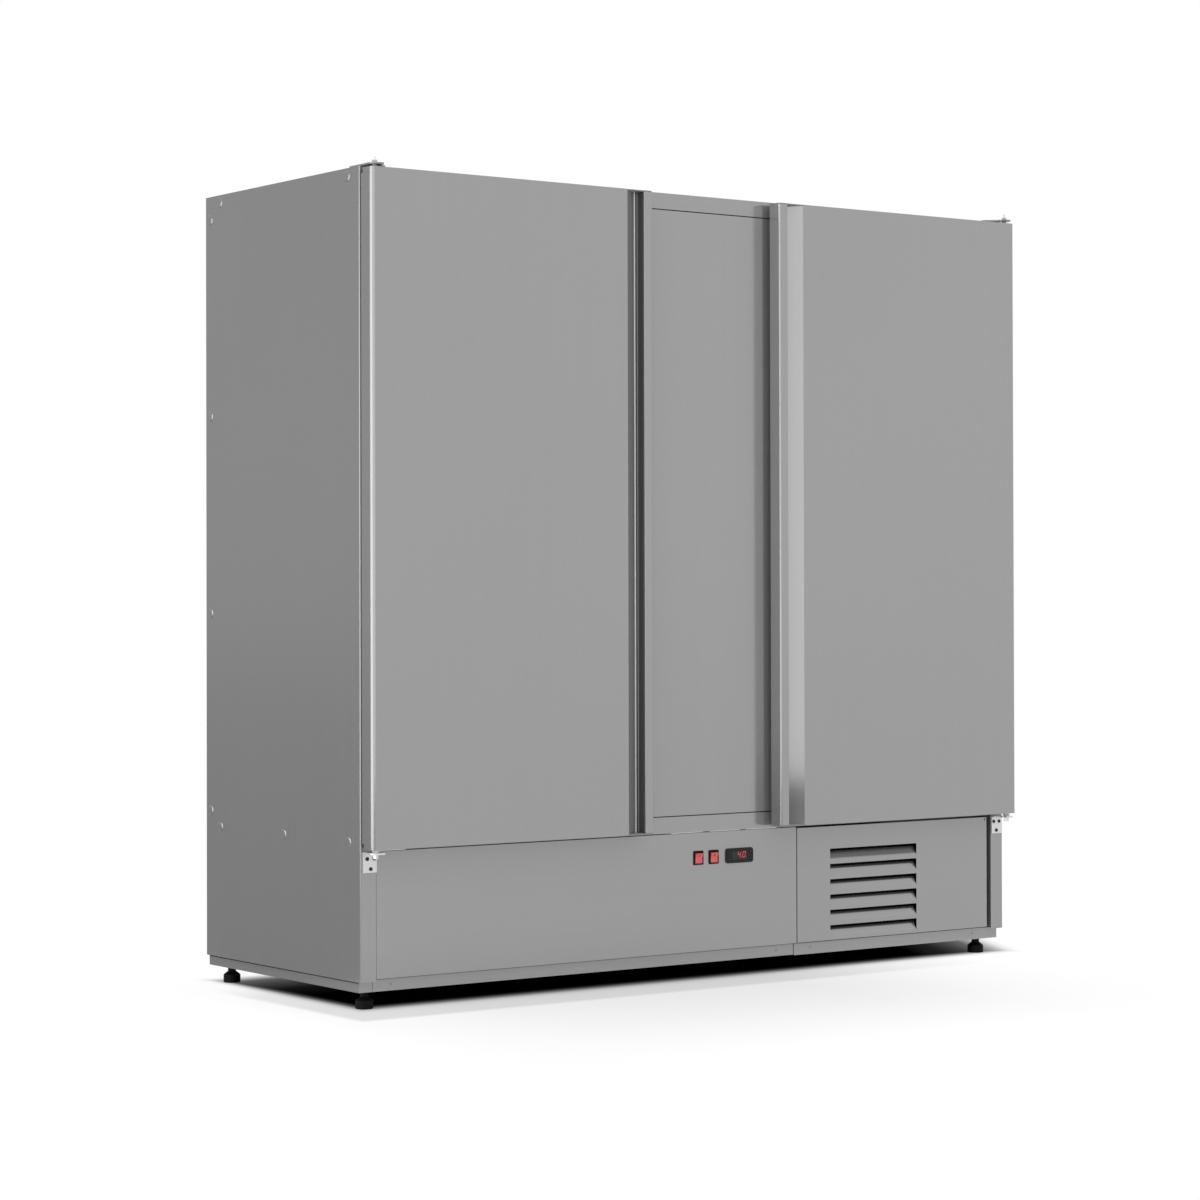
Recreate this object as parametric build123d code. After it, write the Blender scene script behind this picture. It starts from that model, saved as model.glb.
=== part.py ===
from build123d import *
import math
import os

# Commercial refrigerator with two hinged doors and a fixed centre panel.
# Millimetres. X runs to the right, Y to the back, Z up, and the floor is at Z 0.
# The origin is the middle of the footprint, with the door fronts included.

# Overall size
cabinet_width = 2000.0
body_depth = 728.0
door_overlay = 54.0
foot_clearance = 42.0
body_height = 1903.0

# Sheet, walls and clearances
skin = 1.0
liner = 0.8
wall = 50.0
bend_radius = 3.0
panel_gap = 1.5
seam_gap = 2.5
control_top_gap = 2.0
control_side_gap = 0.8
seat_gap = 0.3
running_gap = 0.05

# Front frame of the body
post_width = 42.0
side_lift = 25.0
rail_height = 39.5
compartment_height = 327.0
center_half = 240.0
center_flange = 8.5
back_recess = 19.0
ridge_width = 12.0
ridge_rise = 2.0
ridge_margin = 60.0
breaker_lip = 15.0
breaker_gap = 1.0
post_return = 24.0
seam_return = 10.0

# Base under the body
base_rail_tall = 29.0
base_rail_wide = 36.0
base_rail_wall = 2.0
rear_bar_deep = 30.0
deck_sheet = 2.0
plinth_setback = 19.0
plinth_inset = 7.0
plinth_deep = 22.0
plinth_split_shift = 5.0
plinth_split_gap = 0.5
plinth_step = 2.0
plinth_top_gap = 1.5
plinth_end_gap = 1.0
rail_notch = 3.5

# Doors
door_top_drop = 6.0
door_bottom_rise = 6.3
door_free_edge = 198.5
door_depth = 39.0
door_skin_depth = 47.0
door_corner = 10.0
corner_notch = 12.0
inner_sheet = 1.2
plug_inset = 50.0
plug_rise = 6.0
plug_bevel = 3.0

# Handle profile along the free edge of a door
lip_width = 26.0
lip_corner = 5.6
lip_back_corner = 1.0
groove_width = 50.5
groove_floor = 5.0
groove_depth = 27.7
groove_corner = 2.5
rib_size = (1.6, 2.0)
rib_corner = 0.6
rib_place = 38.7
profile_wall = 2.0
profile_flange = 14.0
profile_tongue = 12.0
cap_thickness = 3.0
cap_setback = 2.0

# Door gasket
gasket_inset = 10.0
gasket_hinge_inset = 17.0
gasket_free_inset = 13.0
gasket_width = 22.0
gasket_neck = 12.0
gasket_foot_thick = 4.0
gasket_neck_thick = 4.0

# Door hinges
pin_from_side = 19.0
pin_from_body = 36.0
pin_radius = 5.0
pin_depth = 14.0
bush_radius = 8.0
bush_depth = 18.0
bracket_nose = 17.0
bracket_square = 15.0
bracket_cheek = 8.0
bracket_lead = 10.0
bracket_sheet = 4.0
bracket_width = 60.0
bracket_on_roof = 50.0
lower_plate_width = 36.5
lower_plate_height = 48.0
lower_plate_inset = 5.0
lower_plate_drop = 1.5
pin_head_tall = 10.0
pin_rise = 18.0
stem_radius = 2.75
collar_size = (7.0, 6.0)
pin_head_radius = 6.5

# Screws and caps
screw_shank = 2.4
screw_head = 4.5
screw_head_thick = 2.0
screw_length = 8.0
screw_edge = 0.9
cross_size = (6.0, 1.0)
cross_deep = 0.9
small_shank = 1.6
small_head = (2.8, 1.2)
small_edge = 0.5
small_slot = (4.0, 0.8, 0.5)
lower_screw_places = ((10.5, 16.0), (29.5, 16.0), (20.0, 39.5))
roof_screw_places = ((11.0, 12.0), (49.0, 12.0), (30.0, 32.0))
plinth_screw_rise = 15.0
plinth_screw_inset = 93.5
plinth_screw_from_split = 55.0
cap_radius = 13.0
cap_dome = 1.8
cap_steps = (0.3, 3.0)
cap_front_inset = 53.5
cap_rear_inset = 22.0
cap_middle = 349.5
cap_rear_row = 70.0
cap_top_drop = 18.0
cap_column_drop = 56.0
cap_column_low = 383.0
cap_column_count = 4
cap_low_row = 345.0

# Lower front panels
panel_return = 15.0
panel_foot = 30.0
control_split = 3.0
grille_width = 649.0
grille_from_side = 57.0
grille_height = 290.7
grille_lift = 4.0
louvre_inset = 108.5
louvre_length = 293.0
louvre_top = 264.5
louvre_pitch = 39.1
louvre_slot = 28.0
louvre_reach = 24.1
louvre_root = 0.7
louvre_angle = 30.0
louvre_count = 6
louvre_end_gap = 1.0
catch_slot = (2.5, 7.0)
catch_inset = 5.0
catch_drop = 9.0

# Controls, heights measured from the underside of the plinth
control_height = 263.0
rocker_offsets = (313.7, 265.8)
bezel_size = (29.5, 34.5)
bezel_throat = (25.5, 30.5)
bezel_proud = 2.5
bezel_corner = 1.0
bezel_floor = 2.0
window_corner = 0.8
bezel_window = (22.0, 27.4)
rocker_size = (21.2, 24.6)
rocker_tilt = 9.0
rocker_pivot_depth = 6.0
rocker_rise = 3.0
rocker_profile = (2.2, 4.0, 7.0)
axle_radius = 1.5
axle_play = 0.1
rocker_body_deep = 24.0
controller_offset = 185.1
controller_face = (86.0, 37.0)
controller_body = (71.0, 29.0)
controller_proud = 4.0
controller_deep = 58.0
controller_corner = 7.0
controller_edge = 1.0
display_size = (47.0, 20.0)
display_deep = 0.6
key_size = (8.0, 6.0)
key_offset = (34.0, 8.5)
key_gap = 0.3
key_thick = 3.0
key_proud = 0.3
key_travel = 0.8
key_corner = 1.5

# Adjustable feet
foot_from_side = 45.0
foot_from_front = 58.0
foot_from_rear = 46.0
foot_radius = 21.0
foot_pad = 19.0
foot_edge = 1.0
foot_shoulder = 9.0
foot_neck = 10.0
foot_nut = 12.0
foot_nut_tall = 6.0
foot_stud = 5.95
foot_stud_top = 20.0
foot_travel = 12.0

# Electrical box
box_from_middle = 160.0
box_from_front = 70.0
box_size = (260.0, 120.0, 130.0)
box_corner = 8.0
box_lip = 3.0
box_lid = 10.0
box_rail = 35.0

# Shelves
shelf_count = 4
shelf_first = 221.0
shelf_pitch = 250.0
shelf_thick = 6.0
shelf_frame = 8.0
shelf_wire = 5.0
shelf_bars = 30
shelf_middle_gap = 8.0
shelf_side_gap = 4.0
shelf_front_gap = 12.0
shelf_rear_gap = 22.0
upright_width = 25.0
upright_deep = 10.0
upright_sheet = 1.5
upright_slot = (6.0, 12.0)
upright_pitch = 50.0
upright_margin = 40.0
upright_over = 60.0
upright_front = 110.0
upright_rear = 60.0
clip_reach = 22.0
clip_thick = 3.0
clip_wide = 20.0
clip_rear_extra = 6.0

# Evaporator under the ceiling
cooler_half = 420.0
cooler_tall = 190.0
cooler_deep = 270.0
cooler_rear_gap = 12.0
cooler_fan_x = 265.0
cooler_fan_radius = 82.0
fan_tip_gap = 5.0
fan_blades = 5
blade_thick = 2.0
blade_pitch = 32.0
blade_root = 3.0
blade_chord = 0.62
blade_corner = 0.14
fan_to_motor = 2.0
fan_inset = 14.0
cooler_sheet = 1.2
cooler_slot = 20.0
cooler_duct = 34.0
guard_wire = 3.0
guard_rings = 4
guard_pitch = 19.0
small_motor_radius = 27.0
arm_width = 16.0
arm_thick = 4.0

evaporator_inset = 40.0
evaporator_deep = 110.0
evaporator_drop = 20.0
evaporator_fin_gap = 16.0
evaporator_rows = 3
fin_rise = 4.0
fin_thick = 1.2

# Lamp over the shelves
lamp_back = 30.0
lamp_base = (620.0, 34.0, 8.0)
lamp_cover = (600.0, 26.0, 14.0)
lamp_edge = 6.0

# Condensing unit behind the louvres
coil_from_side = 230.0
coil_width = 340.0
coil_deep = 45.0
coil_tall = 250.0
coil_front_gap = 44.0
coil_foot = 6.0
coil_rows = 6
coil_fin_gap = 12.0
shroud_deep = 55.0
shroud_sheet = 1.5
shroud_fan_inset = 6.0
condenser_fan_radius = 105.0
motor_radius = 34.0
motor_deep = 45.0
motor_stand = (25.0, 4.0, 30.0)
shaft_radius = 4.0
hub_radius = 24.0
hub_deep = 22.0
compressor_from_side = 440.0
compressor_from_rear = 301.0
compressor_radius = 78.0
compressor_tall = 165.0
compressor_foot = 12.0
pot_top_round = 46.0
pot_low_round = 27.0
pot_seam = 12.0
terminal_size = (30.0, 50.0, 115.0)
mount_plate = (100.0, 75.0)
grommet_radius = 11.0
tray_from_middle = 60.0
tray_from_back = 60.0
tray_size = (340.0, 252.0, 45.0)
tray_corner = 20.0
tray_wall = 2.5
pipe_radius = 4.0
pipe_clearance = 34.0
pipe_spacing = 32.0
bend_margin = 10.0
pipe_bend = 16.0
drier_radius = 11.0
drier_edge = 4.0
drier_length = 110.0

# Rear grille and the cable entry
vent_slot = (110.0, 8.0)
vent_bridge = 20.0
vent_pitch = 26.0
vent_columns = 3
vent_rows = 8
vent_rise = 40.0
vent_left = 200.0
vent_right = 570.0
gland_from_side = 120.0
gland_height = 120.0
gland_bore = 5.5
gland_radius = 12.0
gland_length = 15.0
gland_rim = 3.0
gland_flange = 4.0
gland_edge = 3.0

# Heights and planes that follow from the sizes above
half_width = cabinet_width / 2
overall_depth = body_depth + door_overlay
door_front = -overall_depth / 2
front = door_front + door_overlay
rear = front + body_depth
base_z = foot_clearance
top_z = base_z + body_height
side_z = base_z + side_lift
deck_z = base_z + base_rail_tall + deck_sheet
cabin_z = base_z + compartment_height
lower_plate_top = cabin_z - lower_plate_drop
back_y = rear - back_recess
inner_half = half_width - wall
inner_back = back_y - wall
inner_floor = cabin_z + wall
inner_top = top_z - wall
rail_low = cabin_z + rail_height + breaker_gap
rail_high = top_z - rail_height
center_back = front + wall
door_bottom = cabin_z + door_bottom_rise
door_top = top_z - door_top_drop
door_width = half_width - door_free_edge
groove_end = lip_width + groove_width
pin_x = -half_width + pin_from_side
pin_y = front - pin_from_body
controls_z = base_z + control_height
grille_right = half_width - grille_from_side
grille_left = grille_right - grille_width
control_right = grille_left - control_split
plinth_split = control_right + plinth_split_shift
louvre_left = grille_left + louvre_inset
rocker_places = [control_right - offset for offset in rocker_offsets]
controller_x = control_right - controller_offset
coil_right = half_width - coil_from_side
coil_left = coil_right - coil_width
compressor_x = half_width - compressor_from_side
compressor_y = rear - compressor_from_rear
gland_x = half_width - gland_from_side
gland_z = base_z + gland_height


def block(x0, x1, y0, y1, z0, z1):
    center = Pos((x0 + x1) / 2, (y0 + y1) / 2, (z0 + z1) / 2)
    return center * Box(x1 - x0, y1 - y0, z1 - z0)


def rod_z(x, y, z0, z1, radius):
    return Pos(x, y, (z0 + z1) / 2) * Cylinder(radius, z1 - z0)


def rod_y(x, z, y0, y1, radius):
    return Pos(x, (y0 + y1) / 2, z) * Rot(90, 0, 0) * Cylinder(radius, y1 - y0)


def rod_x(y, z, x0, x1, radius):
    return Pos((x0 + x1) / 2, y, z) * Rot(0, 90, 0) * Cylinder(radius, x1 - x0)


def prism_z(points, z0, z1):
    face = make_face(Polyline(*points, close=True))
    return Pos(0, 0, z0) * extrude(face, z1 - z0, dir=(0, 0, 1))


def prism_x(points, x0, x1):
    face = make_face(Polyline(*[(x0, y, z) for y, z in points], close=True))
    return extrude(face, x1 - x0, dir=(1, 0, 0))


def turned(points, x, y):
    face = make_face(Polyline(*[(r, 0, z) for r, z in points], close=True))
    return Pos(x, y, 0) * revolve(face, Axis.Z)


def rounded_plate(x, z, size, corner, y0, y1):
    outline = Plane.XZ * RectangleRounded(size[0], size[1], corner)
    return Pos(x, y1, z) * extrude(outline, y1 - y0)


def flip(shape):
    return mirror(shape, about=Plane.YZ)


def save(name, *pieces):
    solids = []
    for piece in pieces:
        solids.extend(piece.solids())
    shape = solids[0] if len(solids) == 1 else Compound(children=solids)
    export_step(shape, f"parts/{name}.step")
    print(name, len(solids))


# Screws and caps: places first, because panels take their holes from them
def lower_hinge_screws():
    x = -half_width + lower_plate_inset
    return [(x + right, lower_plate_top - down) for right, down in lower_screw_places]


def roof_screws():
    y = front + bracket_on_roof
    left = -half_width + bracket_sheet
    return [(left + right, y - forward) for right, forward in roof_screw_places]


def plinth_screws():
    z = base_z + plinth_screw_rise
    left = front + plinth_setback
    right = left - plinth_step
    end = half_width - plinth_screw_inset
    near = plinth_split - plinth_screw_from_split
    far = plinth_split + plinth_screw_from_split
    return [(-end, left, z), (near, left, z), (far, right, z), (end, right, z)]


def screw(face_y, x, z):
    head = rod_y(x, z, face_y - screw_head_thick, face_y, screw_head)
    head = fillet(head.edges().sort_by(Axis.Y)[0], screw_edge)
    long_half, wide_half = cross_size[0] / 2, cross_size[1] / 2
    y0 = face_y - screw_head_thick - 1
    y1 = face_y - screw_head_thick + cross_deep
    slot = block(x - long_half, x + long_half, y0, y1, z - wide_half, z + wide_half)
    cross = block(x - wide_half, x + wide_half, y0, y1, z - long_half, z + long_half)
    shank = rod_y(x, z, face_y, face_y + screw_length, screw_shank)
    return head - slot - cross + shank


def small_screw(face_y, x, z):
    radius, tall = small_head
    top = face_y - tall
    head = rod_y(x, z, top, face_y, radius)
    head = fillet(head.edges().sort_by(Axis.Y)[0], small_edge)
    long, wide, deep = small_slot
    head -= block(x - long / 2, x + long / 2, top - 1, top + deep, z - wide / 2, z + wide / 2)
    return head + rod_y(x, z, face_y, face_y + screw_length, small_shank)


def roof_screw(x, y, face_z):
    turned_up = Rot(-90, 0, 0) * screw(0, 0, 0)
    return Pos(x, y, face_z) * turned_up


def fixing_screws():
    low = [screw(front - bracket_sheet, x, z) for x, z in lower_hinge_screws()]
    high = [roof_screw(x, y, top_z + bracket_sheet) for x, y in roof_screws()]
    plinth = [small_screw(y, x, z) for x, y, z in plinth_screws()]
    left = low + high
    return left + [flip(s) for s in left] + plinth


def cap_places():
    high = top_z - cap_column_drop
    pitch = (high - base_z - cap_column_low) / (cap_column_count - 1)
    column = [high - i * pitch for i in range(cap_column_count)]
    rear_y = rear - cap_rear_row
    places = [(front + cap_front_inset, top_z - cap_top_drop), (rear_y, top_z - cap_top_drop)]
    places += [(rear - cap_rear_inset, z) for z in column]
    low = base_z + cap_low_row
    places += [(front + cap_front_inset, low), (front + cap_middle, low), (rear_y, low)]
    return places


def side_caps():
    rim, shoulder = cap_steps
    profile = [(0, 0), (cap_radius, 0), (cap_radius, rim), (cap_radius - shoulder, cap_dome), (0, cap_dome)]
    cap = Rot(0, -90, 0) * turned(profile, 0, 0)
    left = [Pos(-half_width, y, z) * cap for y, z in cap_places()]
    return left + [flip(c) for c in left]


# Outer shell of the body
def side_panel():
    outer = block(-half_width, -half_width + post_width, front, rear, side_z, top_z)
    corner = outer.edges().filter_by(Axis.Z).sort_by(Axis.X)[:2].sort_by(Axis.Y)[0]
    outer = fillet(corner, bend_radius)
    x0 = -half_width + skin
    x1 = -half_width + post_width + skin
    panel = outer - block(x0, x1, front + skin, rear - skin, side_z - skin, top_z - skin)
    low, high = deck_z + seat_gap, cabin_z - seat_gap
    panel += block(x1 - skin * 2, x1 - skin, front, front + post_return, low, high)
    for x, z in lower_hinge_screws():
        panel -= rod_y(x, z, front - skin, front + skin * 2, screw_shank)
    for x, y in roof_screws():
        panel -= rod_z(x, y, top_z - skin * 2, top_z + skin, screw_shank)
    return panel


# The seam above or below the centre panel is closed from behind by a folded lip of the rail
def seam_lip(edge_z, side):
    y0 = front + seam_return + seat_gap
    root = edge_z - side * skin
    tip = edge_z + side * (seam_gap + skin * 2)
    shelf = block(-center_half, center_half, front, y0, min(root, edge_z), max(root, edge_z))
    return shelf + block(-center_half, center_half, y0, y0 + skin, min(root, tip), max(root, tip))


def seam_space(edge_z, side):
    y1 = front + seam_return + seat_gap + skin
    root = edge_z - side * skin
    tip = edge_z + side * (seam_gap + skin * 2)
    return block(-center_half, center_half, front + skin, y1, min(root, tip), max(root, tip))


def roof_pan():
    edge = half_width - post_width
    plate = block(-edge, edge, front, rear, top_z - skin, top_z)
    rail = block(-edge, edge, front, front + skin, rail_high, top_z)
    pan = plate + rail + seam_lip(rail_high, -1)
    for x, y in roof_screws():
        hole = rod_z(x, y, top_z - skin * 2, top_z + skin, screw_shank)
        pan -= hole
        pan -= flip(hole)
    return pan


def bottom_pan():
    edge = half_width - post_width
    x1 = half_width - skin
    plate = block(-x1, x1, front + skin, back_y - skin, cabin_z, cabin_z + skin)
    rail = block(-edge, edge, front, front + skin, cabin_z, rail_low)
    return plate + rail + seam_lip(rail_low, 1)


def back_panel():
    edge = half_width - skin
    plate = block(-edge, edge, back_y - skin, back_y, cabin_z, top_z - skin)
    low, high = cabin_z + ridge_margin, top_z - ridge_margin
    for x in (-half_width / 2, half_width / 2):
        plate += block(x - ridge_width / 2, x + ridge_width / 2, back_y, back_y + ridge_rise, low, high)
    return plate


def foam_jacket():
    edge = half_width - skin
    y0 = front + skin
    y1 = back_y - skin
    jacket = block(-edge, edge, y0, y1, cabin_z + skin, top_z - skin)
    hollow = inner_half + liner
    y2 = inner_back + liner
    jacket -= block(-hollow, hollow, y0 - 1, y2, inner_floor - liner, inner_top + liner)
    for x, y in roof_screws():
        hole = rod_z(x, y, top_z - screw_length, top_z, screw_shank + skin)
        jacket -= hole
        jacket -= flip(hole)
    jacket -= seam_space(rail_low, 1)
    jacket -= seam_space(rail_high, -1)
    x1 = center_half - skin
    core = block(-x1, x1, y0, center_back - skin, inner_floor + seat_gap, inner_top - seat_gap)
    return [jacket, core]


def inner_liner():
    hollow = inner_half + liner
    y1 = inner_back + liner
    box = block(-hollow, hollow, front + skin, y1, inner_floor - liner, inner_top + liner)
    return box - block(-inner_half, inner_half, front, inner_back, inner_floor, inner_top)


def center_panel():
    z0 = rail_low + seam_gap
    z1 = rail_high - seam_gap
    face = block(-center_half, center_half, front, front + skin, z0, z1)
    for low in (z0, z1 - skin):
        face += block(-center_half, center_half, front, front + seam_return, low, low + skin)
    z2 = inner_floor + seat_gap
    z3 = inner_top - seat_gap
    side = block(-center_half, -center_half + skin, front, center_back, z2, z3)
    back = block(-center_half + skin, center_half - skin, center_back - skin, center_back, z2, z3)
    return [face + side + flip(side), back]


def breaker_frame():
    x0 = -half_width + post_width
    x1 = -center_half
    z0 = rail_low
    z1 = rail_high
    plate = block(x0, x1, front, front + skin, z0, z1)
    y1 = front + breaker_lip
    plate += block(-inner_half, x1, front, y1, inner_floor, inner_top)
    cut = block(-inner_half + skin, x1 - skin, front - 1, y1 + 1, inner_floor + skin, inner_top - skin)
    return plate - cut


# Base under the body
def tube(x0, x1, y0, y1, z0, z1, along):
    grow = 1.0
    w = base_rail_wall
    if along == "x":
        return block(x0, x1, y0, y1, z0, z1) - block(x0 - grow, x1 + grow, y0 + w, y1 - w, z0 + w, z1 - w)
    return block(x0, x1, y0, y1, z0, z1) - block(x0 + w, x1 - w, y0 - grow, y1 + grow, z0 + w, z1 - w)


def foot_places():
    x = half_width - foot_from_side
    y0 = front + foot_from_front
    y1 = rear - foot_from_rear
    return {"front_left": (-x, y0), "front_right": (x, y0), "rear_left": (-x, y1), "rear_right": (x, y1)}


def base_rails():
    z0 = base_z
    z1 = base_z + base_rail_tall
    x0 = -half_width + plinth_inset
    x1 = x0 + base_rail_wide * 2
    y0 = front + plinth_setback
    y1 = rear - skin
    w = base_rail_wall
    left = tube(x0, x1, y0 + plinth_deep, y1, z0, z1, "y")
    left += block(x0, x1, y1 - w, y1, z0, z1)
    left -= block(x0 - 1, x0 + w, y0 + plinth_deep, y1 - w, side_z - rail_notch, z1 - w)
    right = flip(left)
    corner = tube(x0, x0 + base_rail_wide, y0, y0 + plinth_deep, z0, z1, "y")
    corner += block(x0, x0 + base_rail_wide, y0, y0 + w, z0, z1)
    corner -= block(x0 - 1, x0 + w, y0 + w, y0 + plinth_deep, side_z - rail_notch, z1 - w)
    back = tube(x1, -x1, y1 - rear_bar_deep, y1, z0, z1, "x")
    rails = [left + corner, right, back]
    for x, y in foot_places().values():
        hole = rod_z(x, y, z0 - 1, z0 + base_rail_wall + 1, foot_stud + running_gap)
        rails = [rail - hole for rail in rails]
    return rails


def plinth_bar(x0, x1, step):
    y0 = front + plinth_setback - step
    y1 = front + plinth_setback + plinth_deep
    z0 = base_z - step * 0.75
    z1 = base_z + base_rail_tall - plinth_top_gap
    bar = tube(x0, x1, y0, y1, z0, z1, "x") + block(x1 - base_rail_wall, x1, y0, y1, z0, z1)
    for x, y, z in plinth_screws():
        bar -= rod_y(x, z, y - 1, y + screw_length, small_shank)
    return bar


def machine_deck():
    edge = half_width - skin
    y0 = front + plinth_setback
    return block(-edge, edge, y0, back_y - skin, deck_z - deck_sheet, deck_z)


def foot(x, y):
    nut_low = base_z - seat_gap - foot_nut_tall
    neck_low = foot_pad + foot_shoulder
    r = foot_radius
    e = foot_edge
    profile = [(0, 0), (r - e, 0), (r, e), (r, foot_pad - e), (r - e, foot_pad + e)]
    profile += [(foot_neck, neck_low), (foot_neck, nut_low), (foot_stud, nut_low)]
    profile += [(foot_stud, base_z + foot_stud_top), (0, base_z + foot_stud_top)]
    body = turned(profile, x, y)
    hexagon = extrude(RegularPolygon(foot_nut, 6), foot_nut_tall)
    return body + Pos(x, y, nut_low) * hexagon


# Door parts are drawn for the left door and mirrored for the right one.
# Distance u runs from the free edge to the hinge edge, and v from the door front to the back.
def door_xy(u, v):
    return (-door_free_edge - u, door_front + v)


def door_prism(points, z0, z1):
    return prism_z([door_xy(u, v) for u, v in points], z0, z1)


def door_block(u0, u1, v0, v1, z0, z1):
    x1, y0 = door_xy(u0, v0)
    x0, y1 = door_xy(u1, v1)
    return block(x0, x1, y0, y1, z0, z1)


def profile_inside():
    slope = (groove_width - groove_floor) / groove_depth
    shift = profile_wall * math.sqrt(1 + slope * slope)
    deep = groove_depth + profile_wall
    shallow = skin + profile_wall
    inside = [(profile_wall, profile_wall), (lip_width - profile_wall, profile_wall)]
    inside += [(lip_width - profile_wall, deep), (groove_end - deep * slope + shift, deep)]
    inside += [(groove_end - shallow * slope + shift, shallow), (groove_end + profile_tongue, shallow)]
    return inside


def profile_edge(shape, u, v):
    x, y = door_xy(u, v)
    upright_edges = shape.edges().filter_by(Axis.Z)
    return upright_edges.sort_by(lambda e: math.hypot(e.center().X - x, e.center().Y - y))[0]


def grip_rib():
    run = groove_width - groove_floor
    slant = math.hypot(run, groove_depth)
    along = (run / slant, -groove_depth / slant)
    out = (-groove_depth / slant, -run / slant)
    v = groove_depth * (groove_end - rib_place) / run
    half, rise = rib_size[0] / 2, rib_size[1]
    corners = [(-half, rise), (half, rise), (half, -half), (-half, -half)]
    points = [(rib_place + a * along[0] + b * out[0], v + a * along[1] + b * out[1]) for a, b in corners]
    rib = door_prism(points, door_bottom + cap_thickness, door_top - cap_thickness)
    return fillet(rib.edges().filter_by(Axis.Z).sort_by(Axis.Y)[:2], rib_corner)


def door_handle():
    outer = [(0, door_depth), (0, 0), (lip_width, 0), (lip_width, groove_depth)]
    outer += [(lip_width + groove_floor, groove_depth), (groove_end, 0), (groove_end, skin)]
    outer += [(groove_end + profile_tongue, skin)]
    inner = list(reversed(profile_inside()))
    tail = [(profile_wall, door_depth - profile_wall), (profile_flange, door_depth - profile_wall)]
    tail += [(profile_flange, door_depth)]
    bar = door_prism(outer + inner + tail, door_bottom + cap_thickness, door_top - cap_thickness)
    bar = fillet(profile_edge(bar, 0, 0), lip_corner)
    bar = fillet(profile_edge(bar, lip_width, 0), lip_back_corner)
    deep = groove_depth
    corners = [profile_edge(bar, lip_width, deep), profile_edge(bar, lip_width + groove_floor, deep)]
    return fillet(corners, groove_corner) + grip_rib()


def handle_cap(z0, z1):
    points = [(0, door_depth), (0, 0), (lip_width, 0), (lip_width, cap_setback)]
    points += [(groove_end, cap_setback), (groove_end, door_depth)]
    cap = door_prism(points, z0, z1)
    return fillet(profile_edge(cap, 0, 0), lip_corner)


def door_area(inset, depth):
    width = door_width - inset
    r = door_corner - inset
    start = door_xy(groove_end - inset, inset)
    bend = door_xy(width - r, inset)
    turn = door_xy(width - r * (1 - math.sqrt(0.5)), inset + r * (1 - math.sqrt(0.5)))
    side = door_xy(width, inset + r)
    back = door_xy(width, depth)
    end = door_xy(groove_end - inset, depth)
    outline = Polyline(start, bend) + ThreePointArc(bend, turn, side) + Polyline(side, back, end, start)
    return make_face(outline)


def bush_holes():
    low = rod_z(pin_x, pin_y, door_bottom - 1, door_bottom + bush_depth, bush_radius)
    high = rod_z(pin_x, pin_y, door_top - bush_depth, door_top + 1, bush_radius)
    return [low, high]


def door_skin():
    z0 = door_bottom
    z1 = door_top
    shell = Pos(0, 0, z0) * extrude(door_area(0, door_depth), z1 - z0, dir=(0, 0, 1))
    inside = extrude(door_area(skin, door_depth + 1), z1 - z0 - skin * 2, dir=(0, 0, 1))
    shell -= Pos(0, 0, z0 + skin) * inside
    low, high = z0 + corner_notch, z1 - corner_notch
    shell += door_block(door_width - skin, door_width, door_corner, door_skin_depth, low, high)
    for hole in bush_holes():
        shell -= hole
    return shell


def door_foam():
    points = profile_inside() + [(groove_end + profile_tongue, skin)]
    u1 = door_width - skin
    points += [(u1, skin), (u1, door_depth - inner_sheet), (profile_flange, door_depth - inner_sheet)]
    points += [(profile_flange, door_depth - profile_wall), (profile_wall, door_depth - profile_wall)]
    foam = door_prism(points, door_bottom + skin, door_top - skin)
    corner = foam.edges().filter_by(Axis.Z).sort_by(Axis.X)[:2].sort_by(Axis.Y)[0]
    foam = fillet(corner, door_corner - skin)
    for z0, z1 in ((door_bottom, door_bottom + cap_thickness), (door_top - cap_thickness, door_top)):
        foam -= door_block(0, groove_end, 0, door_depth, z0, z1)
    for hole in bush_holes():
        foam -= hole
    return foam


def door_inner_panel():
    z0 = door_bottom + skin
    z1 = door_top - skin
    v0 = door_depth - inner_sheet
    plate = door_block(profile_flange, door_width - skin, v0, door_depth, z0, z1)
    for low, high in ((door_bottom, door_bottom + cap_thickness), (door_top - cap_thickness, door_top)):
        plate -= door_block(0, groove_end, 0, door_depth + 1, low, high)
    u0 = plug_inset
    u1 = door_width - plug_inset
    z2 = door_bottom + plug_inset
    z3 = door_top - plug_inset
    plug = door_block(u0, u1, door_depth, door_depth + plug_rise, z2, z3)
    plug = chamfer(plug.faces().sort_by(Axis.Y)[-1].edges(), plug_bevel)
    w = inner_sheet
    hollow = door_block(u0 + w, u1 - w, v0, door_depth + plug_rise - w, z2 + w, z3 - w)
    plug -= chamfer(hollow.faces().sort_by(Axis.Y)[-1].edges(), plug_bevel)
    plate -= door_block(u0 + w, u1 - w, v0 - 1, door_depth + 1, z2 + w, z3 - w)
    return plate + plug


def ring(inset, width, v0, v1):
    u0 = gasket_free_inset + inset
    u1 = door_width - gasket_hinge_inset - inset
    z0 = door_bottom + gasket_inset + inset
    z1 = door_top - gasket_inset - inset
    frame = door_block(u0, u1, v0, v1, z0, z1)
    return frame - door_block(u0 + width, u1 - width, v0 - 1, v1 + 1, z0 + width, z1 - width)


def door_gasket():
    v1 = door_depth + gasket_foot_thick
    v2 = v1 + gasket_neck_thick
    v3 = door_overlay - seat_gap
    inset = (gasket_width - gasket_neck) / 2
    foot_ring = ring(0, gasket_width, door_depth, v1)
    neck = ring(inset, gasket_neck, v1, v2)
    magnet = ring(0, gasket_width, v2, v3)
    return foot_ring + neck + magnet


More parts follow.
